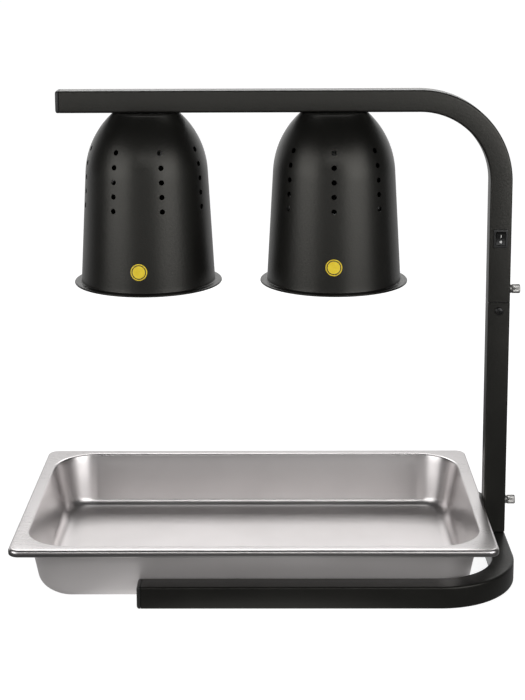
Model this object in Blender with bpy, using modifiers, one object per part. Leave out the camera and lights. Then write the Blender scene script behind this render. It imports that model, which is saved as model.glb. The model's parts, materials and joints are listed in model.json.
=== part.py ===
# Food heat lamp: a square tube stand with two hanging lamps over a food pan.
# X runs along the arm, Y from front to back and Z up; the stand and the pan rest at Z = 0.
# Lengths are in metres.
import bmesh
import bpy
from math import asin, atan2, ceil, cos, pi, radians, sin
from mathutils import Matrix, Vector

# Fits
seat_gap = 0.0003
thread_gap = 0.0003
cut_overrun = 0.002
merge_distance = 0.00001

# Square tube
tube_side = 0.025
tube_wall = 0.0015
tube_corner_radius = 0.0025
tube_inside = tube_side - 2 * tube_wall

# Base, a level U of tube that opens to the left and is as deep as the pan between its legs needs
base_pan_clearance = 0.0006
base_left_end_x = -0.1457
base_corner_radius = 0.078
base_corner_steps = 9

# Post and arm
post_x = 0.2598
arm_top_height = 0.5443
arm_height = 0.2437
arm_left_end_x = -0.2411
arm_bend_radius = 0.0925
arm_bend_steps = 11

# Spigots inside the tubes
spigot_clearance = 0.0003
spigot_wall = 0.002
spigot_corner_radius = 0.0022
base_spigot_top = 0.095
joint_spigot_below = 0.06
joint_spigot_share = 0.36

# Plastic end caps
cap_flange = 0.004
cap_edge_radius = 0.0012
cap_plug_length = 0.012
cap_plug_clearance = 0.0003
cap_plug_taper = 0.0008

# Thumb screws
lower_thumb_height = 0.0609
upper_thumb_above_joint = 0.0137
thumb_head_radius = 0.0052
thumb_head_length = 0.0096
thumb_knurl_depth = 0.0004
thumb_knurl_count = 18
thumb_chamfer = 0.0008
thumb_shank_radius = 0.0025
thumb_washer_radius = 0.005
thumb_washer_thickness = 0.0008
bush_flange_radius = 0.0048
bush_flange_thickness = 0.0012
bush_barrel_radius = 0.0036

# Cross-recess screw in the front of the lower post
post_screw_below_joint = 0.0094
post_screw_head_radius = 0.0047
post_screw_head_height = 0.0028
post_screw_side_share = 0.33
post_screw_dome_steps = 4
post_screw_shank_radius = 0.0025
post_screw_length = 0.009
recess_width = 0.0012
recess_span = 0.0052
recess_depth = 0.0016

# Rocker switch, part of the way up the arm's straight upright
switch_height_share = 0.5393
bezel_width = 0.0158
bezel_height = 0.0214
bezel_thickness = 0.0018
bezel_edge_radius = 0.0007
switch_body_width = 0.0128
switch_body_height = 0.0186
switch_body_depth = 0.0132
rocker_width = 0.0102
rocker_swing_radius = 0.0072
rocker_face_offset = 0.0012
rocker_half_angle = radians(11)
rocker_back_angle = radians(120)
rocker_steps = 4
rocker_recess = 0.0003
rocker_gap = 0.0004
rocker_pin_radius = 0.0009
rocker_pin_length = 0.0009
terminal_width = 0.0048
terminal_thickness = 0.0008
terminal_edge_radius = 0.0002
terminal_length = 0.006
terminal_spacing = 0.0116

# Cord gland in the back of the arm's upright
gland_height_share = 0.767
gland_flange_radius = 0.0075
gland_flange_thickness = 0.0025
gland_nose_radius = 0.005
gland_nose_length = 0.006
gland_barrel_radius = 0.0058
gland_barrel_length = 0.004
gland_bore_radius = 0.0034

# Lamps
lamp_centres_x = {"left": -0.1405, "right": 0.0715}
hole_turns = {"left": radians(-27), "right": radians(-2)}

# Shade, a spun dome with a level rim, which goes round the bulb and a little below it
shade_bulb_gap = 0.0127
shade_below_bulb = 0.0078
shade_flange_width = 0.0078
shade_rim_lip = 0.0022
shade_foot_fillet = 0.0015
shade_body_lean = 0.0071
shade_shoulder_drop = 0.066
shade_dome_radius = 0.095
shade_crown_edge = 0.0025
shade_sheet = 0.001
shade_segments = 36
shade_dome_steps = 5

# Vent holes in the shade
vent_columns = 8
vent_rows = 5
vent_radius = 0.003
vent_top_drop = 0.038
vent_row_spacing = 0.016
vent_cut_start_share = 0.45
vent_sides = 6

# Hollow threaded rod that carries a lamp, with its nuts and washers
rod_radius = 0.005
rod_bore_radius = 0.0034
rod_above_arm_floor = 0.0085
rod_in_holder = 0.0085
nut_across_flats = 0.014
nut_thickness = 0.004
arm_washer_radius = 0.009
shade_washer_radius = 0.013
washer_thickness = 0.0012

# Lamp holder
holder_radius = 0.0195
holder_height = 0.046
holder_neck_radius = 0.0125
holder_neck_height = 0.006
holder_cone_height = 0.006
holder_shell_radius = 0.0146
holder_shell_wall = 0.0007
holder_shell_length = 0.0277
holder_roof = 0.0129
holder_wire_bore_radius = 0.0028
contact_radius = 0.0055
contact_thickness = 0.0008
holder_segments = 20

# Bulb
bulb_cap_radius = 0.0132
bulb_cap_length = 0.025
bulb_cap_roof = 0.005
bulb_cap_top_share = 0.67
bulb_cap_wall = 0.0006
bulb_tip_radius = 0.0044
bulb_tip_height = 0.0026
bulb_radius = 0.0635
bulb_length = 0.165
bulb_widest_share = 0.19
bulb_flare_power = 0.75
bulb_face_edge_radius = 0.016
bulb_face_edge_turn = radians(68)
bulb_face_sag = 0.007
bulb_glass = 0.0012
bulb_segments = 20
bulb_flare_steps = 5
bulb_face_steps = 2
bulb_edge_steps = 2

# Food pan
pan_length = 0.53
pan_width = 0.325
pan_depth = 0.065
pan_post_clearance = 0.0021
pan_sheet = 0.0009
pan_rim_width = 0.0128
pan_rim_corner_radius = 0.012
pan_rim_edge_radius = 0.0022
pan_rim_drop = 0.0068
pan_mouth_radius = 0.0025
pan_mouth_corner_radius = 0.052
pan_wall_lean = 0.008
pan_foot_radius = 0.022
pan_corner_steps = 6
pan_foot_steps = 4
pan_edge_steps = 2

# Terminal block and leads inside the arm
block_height_share = 0.983
block_width = 0.016
block_depth = 0.009
block_length = 0.022
block_edge_radius = 0.0008
lead_radius = 0.0016
lead_side_offset = 0.0035
lead_sag = 0.0012
lead_turn_radius = 0.009
lead_turn_steps = 4
lead_point_spacing = 0.011

# How finely round things are drawn
round_sides = 20
hole_sides = 16
pin_sides = 12
sharp_edge_angle = radians(35)
bevel_edge_angle = radians(40)
lead_edge_angle = radians(60)

# Places that follow from the sizes above
tube_half = tube_side / 2
pan_centre_x = post_x - tube_half - pan_post_clearance - pan_length / 2
inside_half = tube_inside / 2
joint_height = arm_top_height - arm_height
arm_axis_height = arm_top_height - tube_half
arm_underside = arm_top_height - tube_side
arm_floor = arm_underside + tube_wall
upright_run = arm_axis_height - arm_bend_radius - joint_height
joint_spigot_above = upright_run * joint_spigot_share
switch_height = joint_height + upright_run * switch_height_share
gland_height = joint_height + upright_run * gland_height_share
block_height = joint_height + upright_run * block_height_share
post_screw_height = joint_height - post_screw_below_joint
thumb_screw_heights = {
    "lower": lower_thumb_height,
    "upper": joint_height + upper_thumb_above_joint,
}
post_right_face = post_x + tube_half
spigot_half = inside_half - spigot_clearance
shade_top = arm_underside - seat_gap
shade_ceiling = shade_top - shade_sheet
shade_washer_top = shade_ceiling - seat_gap
shade_nut_top = shade_washer_top - washer_thickness - seat_gap
holder_top = shade_nut_top - nut_thickness - seat_gap
holder_seat = holder_top - holder_roof
contact_bottom = holder_seat - seat_gap - contact_thickness
bulb_top = contact_bottom - seat_gap
bulb_cap_top = bulb_top - bulb_tip_height - seat_gap
shade_rim_height = bulb_top - bulb_length - shade_below_bulb
shade_foot_radius = bulb_radius + shade_bulb_gap
shade_rim_radius = shade_foot_radius + shade_flange_width
shade_shoulder_radius = shade_foot_radius - shade_body_lean
shade_shoulder_height = shade_top - shade_shoulder_drop
arm_washer_bottom = arm_floor + seat_gap
arm_nut_bottom = arm_washer_bottom + washer_thickness + seat_gap
rod_top = arm_floor + rod_above_arm_floor

heat_lamp = bpy.data.collections.new("food_heat_lamp")
cutters = bpy.data.collections.new("cutters")
materials = {}

# Colour, roughness and metallic value of each finish
finishes = {
    "black_powder_coat": ((0.028, 0.028, 0.030), 0.46, 0.0),
    "black_plastic": ((0.018, 0.018, 0.019), 0.38, 0.0),
    "bright_steel": ((0.72, 0.71, 0.69), 0.22, 1.0),
    "zinc_steel": ((0.60, 0.60, 0.58), 0.35, 1.0),
    "black_steel": ((0.020, 0.020, 0.021), 0.35, 0.6),
    "brass": ((0.78, 0.57, 0.25), 0.28, 1.0),
    "porcelain": ((0.86, 0.85, 0.81), 0.22, 0.0),
    "frosted_glass": ((0.88, 0.87, 0.84), 0.35, 0.0),
    "nickel_cap": ((0.66, 0.65, 0.62), 0.30, 1.0),
    "satin_stainless": ((0.62, 0.61, 0.59), 0.28, 1.0),
    "grey_plastic": ((0.55, 0.55, 0.53), 0.45, 0.0),
    "blue_insulation": ((0.05, 0.13, 0.42), 0.45, 0.0),
    "brown_insulation": ((0.20, 0.09, 0.04), 0.45, 0.0),
}


def clear_scene():
    for thing in list(bpy.data.objects):
        bpy.data.objects.remove(thing, do_unlink=True)
    bpy.context.scene.collection.children.link(heat_lamp)
    bpy.context.scene.collection.children.link(cutters)


def make_materials():
    for name, (colour, roughness, metallic) in finishes.items():
        finish = bpy.data.materials.new(name)
        finish.use_nodes = True
        surface = finish.node_tree.nodes["Principled BSDF"]
        surface.inputs["Base Color"].default_value = (*colour, 1)
        surface.inputs["Roughness"].default_value = roughness
        surface.inputs["Metallic"].default_value = metallic
        materials[name] = finish


# Helpers that make objects


def add_piece(name, mesh, finish, place=(0, 0, 0)):
    """Puts a mesh in the lamp's collection as the piece called name."""
    piece = bpy.data.objects.new(name, mesh)
    piece.location = place
    if not mesh.materials:
        mesh.materials.append(materials[finish])
    heat_lamp.objects.link(piece)
    return piece


def add_cutter(name, mesh, place=(0, 0, 0)):
    cutter = bpy.data.objects.new(name, mesh)
    cutter.location = place
    cutter.hide_render = True
    cutter.display_type = "WIRE"
    cutters.objects.link(cutter)
    return cutter


def mesh_from(bm, name):
    """Turns a bmesh into a mesh with its faces pointing out."""
    bmesh.ops.recalc_face_normals(bm, faces=bm.faces)
    mesh = bpy.data.meshes.new(name)
    bm.to_mesh(mesh)
    bm.free()
    return mesh


def add_cylinder(bm, radius, bottom, top, place=(0, 0, 0), turn=None, sides=round_sides, top_radius=None):
    """Adds a cylinder or cone along Z from bottom to top, then turns it and moves it to place."""
    matrix = Matrix.Translation(place) @ (turn or Matrix.Identity(4))
    matrix = matrix @ Matrix.Translation((0, 0, (bottom + top) / 2))
    bmesh.ops.create_cone(
        bm, cap_ends=True, segments=sides, radius1=radius,
        radius2=radius if top_radius is None else top_radius, depth=top - bottom, matrix=matrix)


def add_box(bm, size, place=(0, 0, 0)):
    matrix = Matrix.Translation(place) @ Matrix.Diagonal((*size, 1))
    bmesh.ops.create_cube(bm, size=1, matrix=matrix)


def cut(piece, cutter, operation="DIFFERENCE"):
    boolean = piece.modifiers.new(cutter.name, "BOOLEAN")
    boolean.operation = operation
    boolean.solver = "EXACT"
    boolean.object = cutter


def bevel_edges(piece, width, segments=2):
    bevel = piece.modifiers.new("edges", "BEVEL")
    bevel.width = width
    bevel.segments = segments
    bevel.limit_method = "ANGLE"
    bevel.angle_limit = bevel_edge_angle


def smooth(mesh, angle=sharp_edge_angle):
    mesh.shade_smooth()
    mesh.set_sharp_from_angle(angle=angle)


def turned(name, profile, finish, place=(0, 0, 0), closed=False, segments=round_sides):
    """Turns a profile of (radius, height) points about Z. The outer side runs top to bottom."""
    bm = bmesh.new()
    points = [bm.verts.new((radius, 0, height)) for radius, height in profile]
    for first, second in zip(points, points[1:]):
        bm.edges.new((first, second))
    if closed:
        bm.edges.new((points[-1], points[0]))
    mesh = bpy.data.meshes.new(name)
    bm.to_mesh(mesh)
    bm.free()
    piece = add_piece(name, mesh, finish, place)
    screw = piece.modifiers.new("turn", "SCREW")
    screw.axis = "Z"
    screw.angle = 2 * pi
    screw.steps = segments
    screw.render_steps = segments
    screw.use_merge_vertices = True
    screw.merge_threshold = merge_distance
    screw.use_smooth_shade = True
    return piece


def thicken(piece, thickness):
    """Gives an open surface its wall, on the side away from its normals."""
    shell = piece.modifiers.new("wall", "SOLIDIFY")
    shell.thickness = thickness
    shell.offset = -1
    shell.use_even_offset = True


def arc_points(centre, radius, start, end, steps):
    """Points on an arc in a plane, from the start angle to the end angle."""
    angles = [start + (end - start) * step / steps for step in range(steps + 1)]
    return [(centre[0] + radius * cos(a), centre[1] + radius * sin(a)) for a in angles]


def rounded_square(half, radius, steps=2):
    """The outline of a square with round corners, anticlockwise."""
    outline = []
    for quarter in range(4):
        angle = pi / 2 * quarter
        reach = half - radius
        centre = (reach * (cos(angle) - sin(angle)), reach * (sin(angle) + cos(angle)))
        outline += arc_points(centre, radius, angle, angle + pi / 2, steps)
    return outline


def curve_along(name, points, cyclic=False):
    """A curve object with one straight-sided spline through the points."""
    curve = bpy.data.curves.new(name, "CURVE")
    curve.dimensions = "3D"
    spline = curve.splines.new("POLY")
    spline.points.add(len(points) - 1)
    for point, place in zip(spline.points, points):
        point.co = (*place, 1)
    spline.use_cyclic_u = cyclic
    guide = bpy.data.objects.new(name, curve)
    cutters.objects.link(guide)
    return guide


def mesh_of(guide, name):
    """The evaluated mesh of a curve object, with its loose ends welded. The curve is removed."""
    depsgraph = bpy.context.evaluated_depsgraph_get()
    mesh = bpy.data.meshes.new_from_object(guide.evaluated_get(depsgraph))
    mesh.name = name
    bm = bmesh.new()
    bm.from_mesh(mesh)
    bmesh.ops.remove_doubles(bm, verts=bm.verts, dist=merge_distance)
    bmesh.ops.recalc_face_normals(bm, faces=bm.faces)
    bm.to_mesh(mesh)
    bm.free()
    bpy.data.objects.remove(guide, do_unlink=True)
    mesh.materials.clear()
    return mesh


def square_tube(name, path, finish, half, corner, wall, matrix):
    """A hollow square tube along a path in its own XY plane, placed by the matrix."""
    section = curve_along(name + "_section", [(x, y, 0) for x, y in rounded_square(half, corner)], True)
    guide = curve_along(name + "_path", [(x, y, 0) for x, y in path])
    guide.data.twist_mode = "Z_UP"
    guide.data.bevel_mode = "OBJECT"
    guide.data.bevel_object = section
    guide.data.use_fill_caps = False
    bpy.context.view_layer.update()
    mesh = mesh_of(guide, name)
    bpy.data.objects.remove(section, do_unlink=True)
    smooth(mesh)
    tube = add_piece(name, mesh, finish)
    tube.matrix_world = matrix
    thicken(tube, wall)
    return tube


def extruded(name, outline, thickness, finish, place=(0, 0, 0), matrix=None):
    """A flat outline in its own XY plane, given a thickness along Z and centred on it."""
    guide = curve_along(name + "_outline", [(x, y, 0) for x, y in outline], True)
    guide.data.dimensions = "2D"
    guide.data.fill_mode = "BOTH"
    guide.data.extrude = thickness / 2
    bpy.context.view_layer.update()
    mesh = mesh_of(guide, name)
    if matrix:
        mesh.transform(matrix)
    return add_piece(name, mesh, finish, place)


def hexagon_nut(name, x, bottom, finish):
    """A nut on a lamp's rod."""
    bm = bmesh.new()
    add_cylinder(bm, nut_across_flats / 2 / cos(pi / 6), 0, nut_thickness, sides=6)
    nut = add_piece(name, mesh_from(bm, name), finish, (x, 0, bottom))
    bm = bmesh.new()
    add_cylinder(bm, rod_radius + thread_gap, -cut_overrun, nut_thickness + cut_overrun)
    cut(nut, add_cutter(name + "_bore", mesh_from(bm, name + "_bore"), (x, 0, bottom)))
    return nut


def flat_washer(name, outer, inner, bottom, thickness, finish, place=(0, 0, 0)):
    top = bottom + thickness
    profile = [(inner, top), (outer, top), (outer, bottom), (inner, bottom)]
    return turned(name, profile, finish, place, closed=True)


# Stand


def turn_z_to(direction=(1, 0, 0)):
    """A turn that lays the Z axis along a direction, to the right if none is given."""
    return Vector((0, 0, 1)).rotation_difference(Vector(direction)).to_matrix().to_4x4()


def leg_line():
    """How far the legs' middle lines are from the post's, so that the pan stands between them."""
    (inset, height, _), (foot_inset, foot_height, _) = pan_wall()
    slope = (foot_inset - inset) / (height - foot_height)
    widest = tube_side - tube_corner_radius
    wall_inset = inset + slope * (height - widest) - pan_sheet / cos(atan2(slope, 1))
    return pan_width / 2 - wall_inset + base_pan_clearance + tube_half


def base_path():
    """The middle line of the base, from the front leg's left end round to the rear leg's."""
    leg = leg_line()
    corner_x = post_x - base_corner_radius
    corner_y = leg - base_corner_radius
    front = arc_points((corner_x, -corner_y), base_corner_radius, -pi / 2, 0, base_corner_steps)
    rear = arc_points((corner_x, corner_y), base_corner_radius, 0, pi / 2, base_corner_steps)
    end_x = base_left_end_x + cap_flange + seat_gap
    return [(end_x, -leg), *front, *rear, (end_x, leg)]


def make_base():
    """The U of tube with the post's spigot welded to the middle of its right side."""
    level = Matrix.Translation((0, 0, tube_half))
    frame = square_tube(
        "base_frame", base_path(), "black_powder_coat", tube_half, tube_corner_radius, tube_wall, level)
    outline = rounded_square(spigot_half, spigot_corner_radius)
    spigot_foot = tube_side - tube_wall / 2
    spigot = extruded(
        "base_spigot", outline, base_spigot_top - spigot_foot, "black_powder_coat",
        (post_x, 0, (base_spigot_top + spigot_foot) / 2))
    make_guide(spigot)
    cut(frame, spigot, "UNION")
    bm = bmesh.new()
    bore = 2 * (spigot_half - spigot_wall)
    height = base_spigot_top - tube_side
    add_box(bm, (bore, bore, height + cut_overrun), (0, 0, (height + cut_overrun) / 2))
    cut(frame, add_cutter("base_spigot_bore", mesh_from(bm, "base_spigot_bore"), (post_x, 0, tube_side)))
    for name, side in (("front", -1), ("rear", 1)):
        place = (base_left_end_x, side * leg_line(), tube_half)
        make_end_cap("base_end_cap_" + name, place)


def make_guide(piece):
    """Makes a piece a hidden guide for another one's Boolean."""
    heat_lamp.objects.unlink(piece)
    cutters.objects.link(piece)
    piece.hide_render = True
    piece.display_type = "WIRE"


def make_end_cap(name, place):
    """A plastic plug for a tube end that faces left: a square flange and a tapered plug."""
    bm = bmesh.new()
    plug_half = inside_half - cap_plug_clearance
    plug_end = cap_flange + cap_plug_length
    stations = (
        (0, tube_half - cap_edge_radius, tube_corner_radius),
        (cap_edge_radius, tube_half, tube_corner_radius),
        (cap_flange, tube_half, tube_corner_radius),
        (cap_flange, plug_half, tube_corner_radius - tube_wall),
        (plug_end, plug_half - cap_plug_taper, tube_corner_radius - tube_wall),
    )
    loft(bm, [[(x, y, z) for y, z in rounded_square(half, radius)] for x, half, radius in stations])
    mesh = mesh_from(bm, name)
    smooth(mesh)
    return add_piece(name, mesh, "black_plastic", place)


def loft(bm, rings, closed_ends=True):
    """Joins rings of points with the same count, and closes the first and the last."""
    rows = [[bm.verts.new(point) for point in ring] for ring in rings]
    for lower, upper in zip(rows, rows[1:]):
        for index in range(len(lower)):
            following = (index + 1) % len(lower)
            bm.faces.new((lower[index], lower[following], upper[following], upper[index]))
    if closed_ends:
        bm.faces.new(rows[0])
        bm.faces.new(rows[-1])
    return rows


def make_lower_post():
    """The straight tube between the base and the joint."""
    bottom = tube_side + seat_gap
    upright = Matrix.Translation((post_x, 0, 0)) @ Matrix.Rotation(-pi / 2, 4, "Y")
    post = square_tube(
        "lower_post", [(bottom, 0), (joint_height, 0)], "black_powder_coat",
        tube_half, tube_corner_radius, tube_wall, upright)
    drill_for_bush(post, "lower")
    drill_front(post, "lower_post_screw_hole", inside_half)
    outline = rounded_square(spigot_half, spigot_corner_radius)
    length = joint_spigot_below + joint_spigot_above
    middle = joint_height + (joint_spigot_above - joint_spigot_below) / 2
    spigot = extruded("joint_spigot", outline, length, "zinc_steel", (post_x, 0, middle))
    bm = bmesh.new()
    bore = 2 * (spigot_half - spigot_wall)
    add_box(bm, (bore, bore, length + 2 * cut_overrun))
    cut(spigot, add_cutter("joint_spigot_bore", mesh_from(bm, "joint_spigot_bore"), (post_x, 0, middle)))
    drill_front(spigot, "joint_spigot_screw_hole", spigot_half - spigot_wall)


def drill_for_bush(tube, level):
    """Cuts the hole for a thumb screw's bush in the right wall of a tube."""
    bm = bmesh.new()
    add_cylinder(
        bm, bush_barrel_radius + seat_gap, -tube_wall - cut_overrun, cut_overrun, turn=turn_z_to())
    place = (post_right_face, 0, thumb_screw_heights[level])
    name = level + "_bush_hole"
    cut(tube, add_cutter(name, mesh_from(bm, name), place))


def drill_front(piece, name, inner_half):
    """Cuts the post screw's hole through the front wall of a tube."""
    bm = bmesh.new()
    add_cylinder(
        bm, post_screw_shank_radius + thread_gap, inner_half - cut_overrun / 2,
        tube_half + cut_overrun, turn=turn_z_to((0, -1, 0)), sides=hole_sides)
    cut(piece, add_cutter(name, mesh_from(bm, name), (post_x, 0, post_screw_height)))


def make_post_screw():
    """A pan head screw that pins the joint spigot to the lower post."""
    underside = seat_gap
    crown = underside + post_screw_head_height
    profile = [(0, crown)]
    dome = arc_points((0, 0), 1, pi / 2, 0, post_screw_dome_steps)[1:]
    shoulder = underside + post_screw_head_height * post_screw_side_share
    for across, up in dome:
        profile.append((post_screw_head_radius * across, shoulder + (crown - shoulder) * up))
    profile += [(post_screw_head_radius, underside), (post_screw_shank_radius, underside)]
    profile += [(post_screw_shank_radius, underside - post_screw_length), (0, underside - post_screw_length)]
    screw = turned("post_screw", profile, "black_steel", (post_x, -tube_half, post_screw_height))
    screw.rotation_euler = (pi / 2, 0, 0)
    slot_height = recess_depth + cut_overrun
    level = tube_half + crown - recess_depth + slot_height / 2
    slots = {"level": (recess_span, recess_width), "upright": (recess_width, recess_span)}
    for name, (across, up) in slots.items():
        bm = bmesh.new()
        add_box(bm, (across, slot_height, up), (0, -level, 0))
        slot = mesh_from(bm, "post_screw_slot_" + name)
        cut(screw, add_cutter("post_screw_slot_" + name, slot, (post_x, 0, post_screw_height)))


def make_thumb_screw(level):
    """A knurled thumb screw, the washer under its head and the threaded bush in the tube's wall."""
    place = (post_right_face, 0, thumb_screw_heights[level])
    bore = thumb_shank_radius + thread_gap
    flange_face = seat_gap + bush_flange_thickness
    bush = turned(
        level + "_thumb_bush",
        [(bore, flange_face), (bush_flange_radius, flange_face), (bush_flange_radius, seat_gap),
         (bush_barrel_radius, seat_gap), (bush_barrel_radius, -tube_wall), (bore, -tube_wall)],
        "bright_steel", place, closed=True)
    washer_face = flange_face + seat_gap
    washer = flat_washer(
        level + "_thumb_washer", thumb_washer_radius, bore, washer_face, thumb_washer_thickness,
        "bright_steel", place)
    head_face = washer_face + thumb_washer_thickness + seat_gap
    head_end = head_face + thumb_head_length
    bm = bmesh.new()
    small = thumb_head_radius - thumb_chamfer
    stations = (
        (-tube_wall, thumb_shank_radius, 0),
        (head_face, thumb_shank_radius, 0),
        (head_face, small, 0),
        (head_face + thumb_chamfer, thumb_head_radius, thumb_knurl_depth),
        (head_end - thumb_chamfer, thumb_head_radius, thumb_knurl_depth),
        (head_end, small, 0),
    )
    loft(bm, [knurled_ring(height, radius, depth) for height, radius, depth in stations])
    screw = add_piece(level + "_thumb_screw", mesh_from(bm, level + "_thumb_screw"), "bright_steel", place)
    for piece in (bush, washer, screw):
        piece.rotation_mode = "QUATERNION"
        piece.rotation_quaternion = turn_z_to().to_quaternion()


def knurled_ring(height, radius, depth):
    """Points round a circle, every second one drawn in by depth."""
    ring = []
    for index in range(2 * thumb_knurl_count):
        angle = pi * index / thumb_knurl_count
        reach = radius - depth * (index % 2)
        ring.append((reach * cos(angle), reach * sin(angle), height))
    return ring


# Arm


def arm_path():
    """The middle line of the arm in (height, X), up from the joint and round to the left end."""
    bend_centre = (arm_axis_height - arm_bend_radius, post_x - arm_bend_radius)
    bend = arc_points(bend_centre, arm_bend_radius, pi / 2, 0, arm_bend_steps)
    end_x = arm_left_end_x + cap_flange + seat_gap
    return [(joint_height + seat_gap, post_x), *bend, (arm_axis_height, end_x)]


def make_upper_arm():
    """The bent tube that carries the switch and both lamps."""
    standing = Matrix(((0, 1, 0, 0), (0, 0, 1, 0), (1, 0, 0, 0), (0, 0, 0, 1)))
    arm = square_tube(
        "upper_arm", arm_path(), "black_powder_coat", tube_half, tube_corner_radius, tube_wall, standing)
    drill_for_bush(arm, "upper")
    bm = bmesh.new()
    opening = (switch_body_width + 2 * seat_gap, tube_wall + 2 * cut_overrun, switch_body_height + 2 * seat_gap)
    add_box(bm, opening, (0, -tube_half + tube_wall / 2, 0))
    cut(arm, add_cutter("switch_opening", mesh_from(bm, "switch_opening"), (post_x, 0, switch_height)))
    bm = bmesh.new()
    add_cylinder(
        bm, gland_barrel_radius + seat_gap, inside_half - cut_overrun, tube_half + cut_overrun,
        turn=turn_z_to((0, 1, 0)))
    cut(arm, add_cutter("gland_hole", mesh_from(bm, "gland_hole"), (post_x, 0, gland_height)))
    for side, x in lamp_centres_x.items():
        bm = bmesh.new()
        add_cylinder(bm, rod_radius + thread_gap, arm_underside - cut_overrun, arm_floor + cut_overrun)
        name = side + "_rod_hole"
        cut(arm, add_cutter(name, mesh_from(bm, name), (x, 0, 0)))
    make_end_cap("arm_end_cap", (arm_left_end_x, 0, arm_axis_height))


def make_cord_gland():
    """The strain relief that the supply cord enters by, in the back of the upright."""
    face = gland_flange_thickness + seat_gap
    nose = face + gland_nose_length
    profile = [
        (gland_bore_radius, nose), (gland_nose_radius, nose), (gland_nose_radius, face),
        (gland_flange_radius, face), (gland_flange_radius, seat_gap), (gland_barrel_radius, seat_gap),
        (gland_barrel_radius, -gland_barrel_length), (gland_bore_radius, -gland_barrel_length)]
    gland = turned("cord_gland", profile, "black_plastic", (post_x, tube_half, gland_height), closed=True)
    gland.rotation_euler = (-pi / 2, 0, 0)


def make_switch():
    """The switch housing with its bezel and blades, and the rocker on its own pivot."""
    front = -tube_half - seat_gap
    pivot_depth = bezel_thickness - rocker_face_offset - rocker_recess
    pivot_y = front - pivot_depth
    body_back = front + switch_body_depth
    bm = bmesh.new()
    add_box(bm, (bezel_width, bezel_thickness, bezel_height), (0, front - bezel_thickness / 2, 0))
    housing = add_piece(
        "switch_housing", mesh_from(bm, "switch_housing"), "black_plastic", (post_x, 0, switch_height))
    bevel_edges(housing, bezel_edge_radius)
    bm = bmesh.new()
    overlap = bezel_thickness / 2
    body_length = switch_body_depth + overlap
    body_size = (switch_body_width, body_length, switch_body_height)
    add_box(bm, body_size, (0, body_back - body_length / 2, 0))
    body = add_cutter("switch_body", mesh_from(bm, "switch_body"), (post_x, 0, switch_height))
    cut(housing, body, "UNION")
    bm = bmesh.new()
    well_floor = pivot_y + rocker_swing_radius
    well_front = front - bezel_thickness - cut_overrun
    well = (rocker_width + 2 * rocker_gap, well_floor - well_front, 2 * (rocker_swing_radius + rocker_gap))
    add_box(bm, well, (0, (well_floor + well_front) / 2, 0))
    cut(housing, add_cutter("switch_well", mesh_from(bm, "switch_well"), (post_x, 0, switch_height)))
    bm = bmesh.new()
    pin_reach = rocker_width / 2 + rocker_pin_length
    add_cylinder(
        bm, rocker_pin_radius + seat_gap, -pin_reach - seat_gap, pin_reach + seat_gap,
        turn=turn_z_to(), sides=pin_sides)
    pivot = (post_x, pivot_y, switch_height)
    cut(housing, add_cutter("switch_pivot_holes", mesh_from(bm, "switch_pivot_holes"), pivot))
    make_rocker(pivot, pin_reach)
    for index, place in enumerate((-1, 0, 1)):
        make_terminal(index + 1, body_back, place * terminal_spacing / 2)


def make_rocker(pivot, pin_reach):
    """The rocker, drawn level and then tipped to off, with its lower half pressed in."""
    tip_angle = pi / 2 - rocker_half_angle - asin(rocker_face_offset / rocker_swing_radius)
    apex = (rocker_face_offset / cos(rocker_half_angle), 0)
    upper = arc_points((0, 0), rocker_swing_radius, tip_angle, rocker_back_angle, rocker_steps)
    lower = [(out, -up) for out, up in reversed(upper)]
    outline = [apex, *upper, *lower]
    face_out = Matrix(((0, 0, 1, 0), (-1, 0, 0, 0), (0, 1, 0, 0), (0, 0, 0, 1)))
    tip = Matrix.Rotation(rocker_half_angle, 4, "X")
    rocker = extruded("switch_rocker", outline, rocker_width, "black_plastic", pivot, tip @ face_out)
    bm = bmesh.new()
    add_cylinder(bm, rocker_pin_radius, -pin_reach, pin_reach, turn=turn_z_to(), sides=pin_sides)
    cut(rocker, add_cutter("switch_rocker_pins", mesh_from(bm, "switch_rocker_pins"), pivot), "UNION")


def make_terminal(number, body_back, height):
    """A blade on the back of the switch."""
    bm = bmesh.new()
    add_box(bm, (terminal_width, terminal_length, terminal_thickness))
    place = (post_x, body_back + seat_gap + terminal_length / 2, switch_height + height)
    name = "switch_terminal_" + str(number)
    blade = add_piece(name, mesh_from(bm, name), "brass", place)
    bevel_edges(blade, terminal_edge_radius, segments=1)


# Lamps


def shade_profile():
    """The outside of the shade from its hole in the crown down to the lip of the rim."""
    dome_centre_radius, dome_centre_height = dome_centre()
    start = asin((shade_top - dome_centre_height) / shade_dome_radius)
    end = atan2(shade_shoulder_height - dome_centre_height, shade_shoulder_radius - dome_centre_radius)
    dome = arc_points(
        (dome_centre_radius, dome_centre_height), shade_dome_radius, start, end, shade_dome_steps)
    flange = shade_rim_height + shade_rim_lip
    crown = [(rod_radius + thread_gap, shade_top), (dome[0][0] - shade_crown_edge, shade_top)]
    drop = shade_crown_edge * sin(start)
    crown_edge = [(dome[0][0] + drop / 2, shade_top - drop)]
    foot = [(shade_foot_radius, flange + shade_foot_fillet), (shade_foot_radius + shade_foot_fillet, flange)]
    rim = [(shade_rim_radius, flange), (shade_rim_radius, shade_rim_height)]
    return crown + crown_edge + dome[1:] + foot + rim


def dome_centre():
    """Centre of the dome's arc, which meets the straight body at the shoulder without a kink."""
    rise = shade_shoulder_height - shade_rim_height
    lean = atan2(shade_foot_radius - shade_shoulder_radius, rise)
    return (shade_shoulder_radius - shade_dome_radius * cos(lean),
            shade_shoulder_height - shade_dome_radius * sin(lean))


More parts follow.
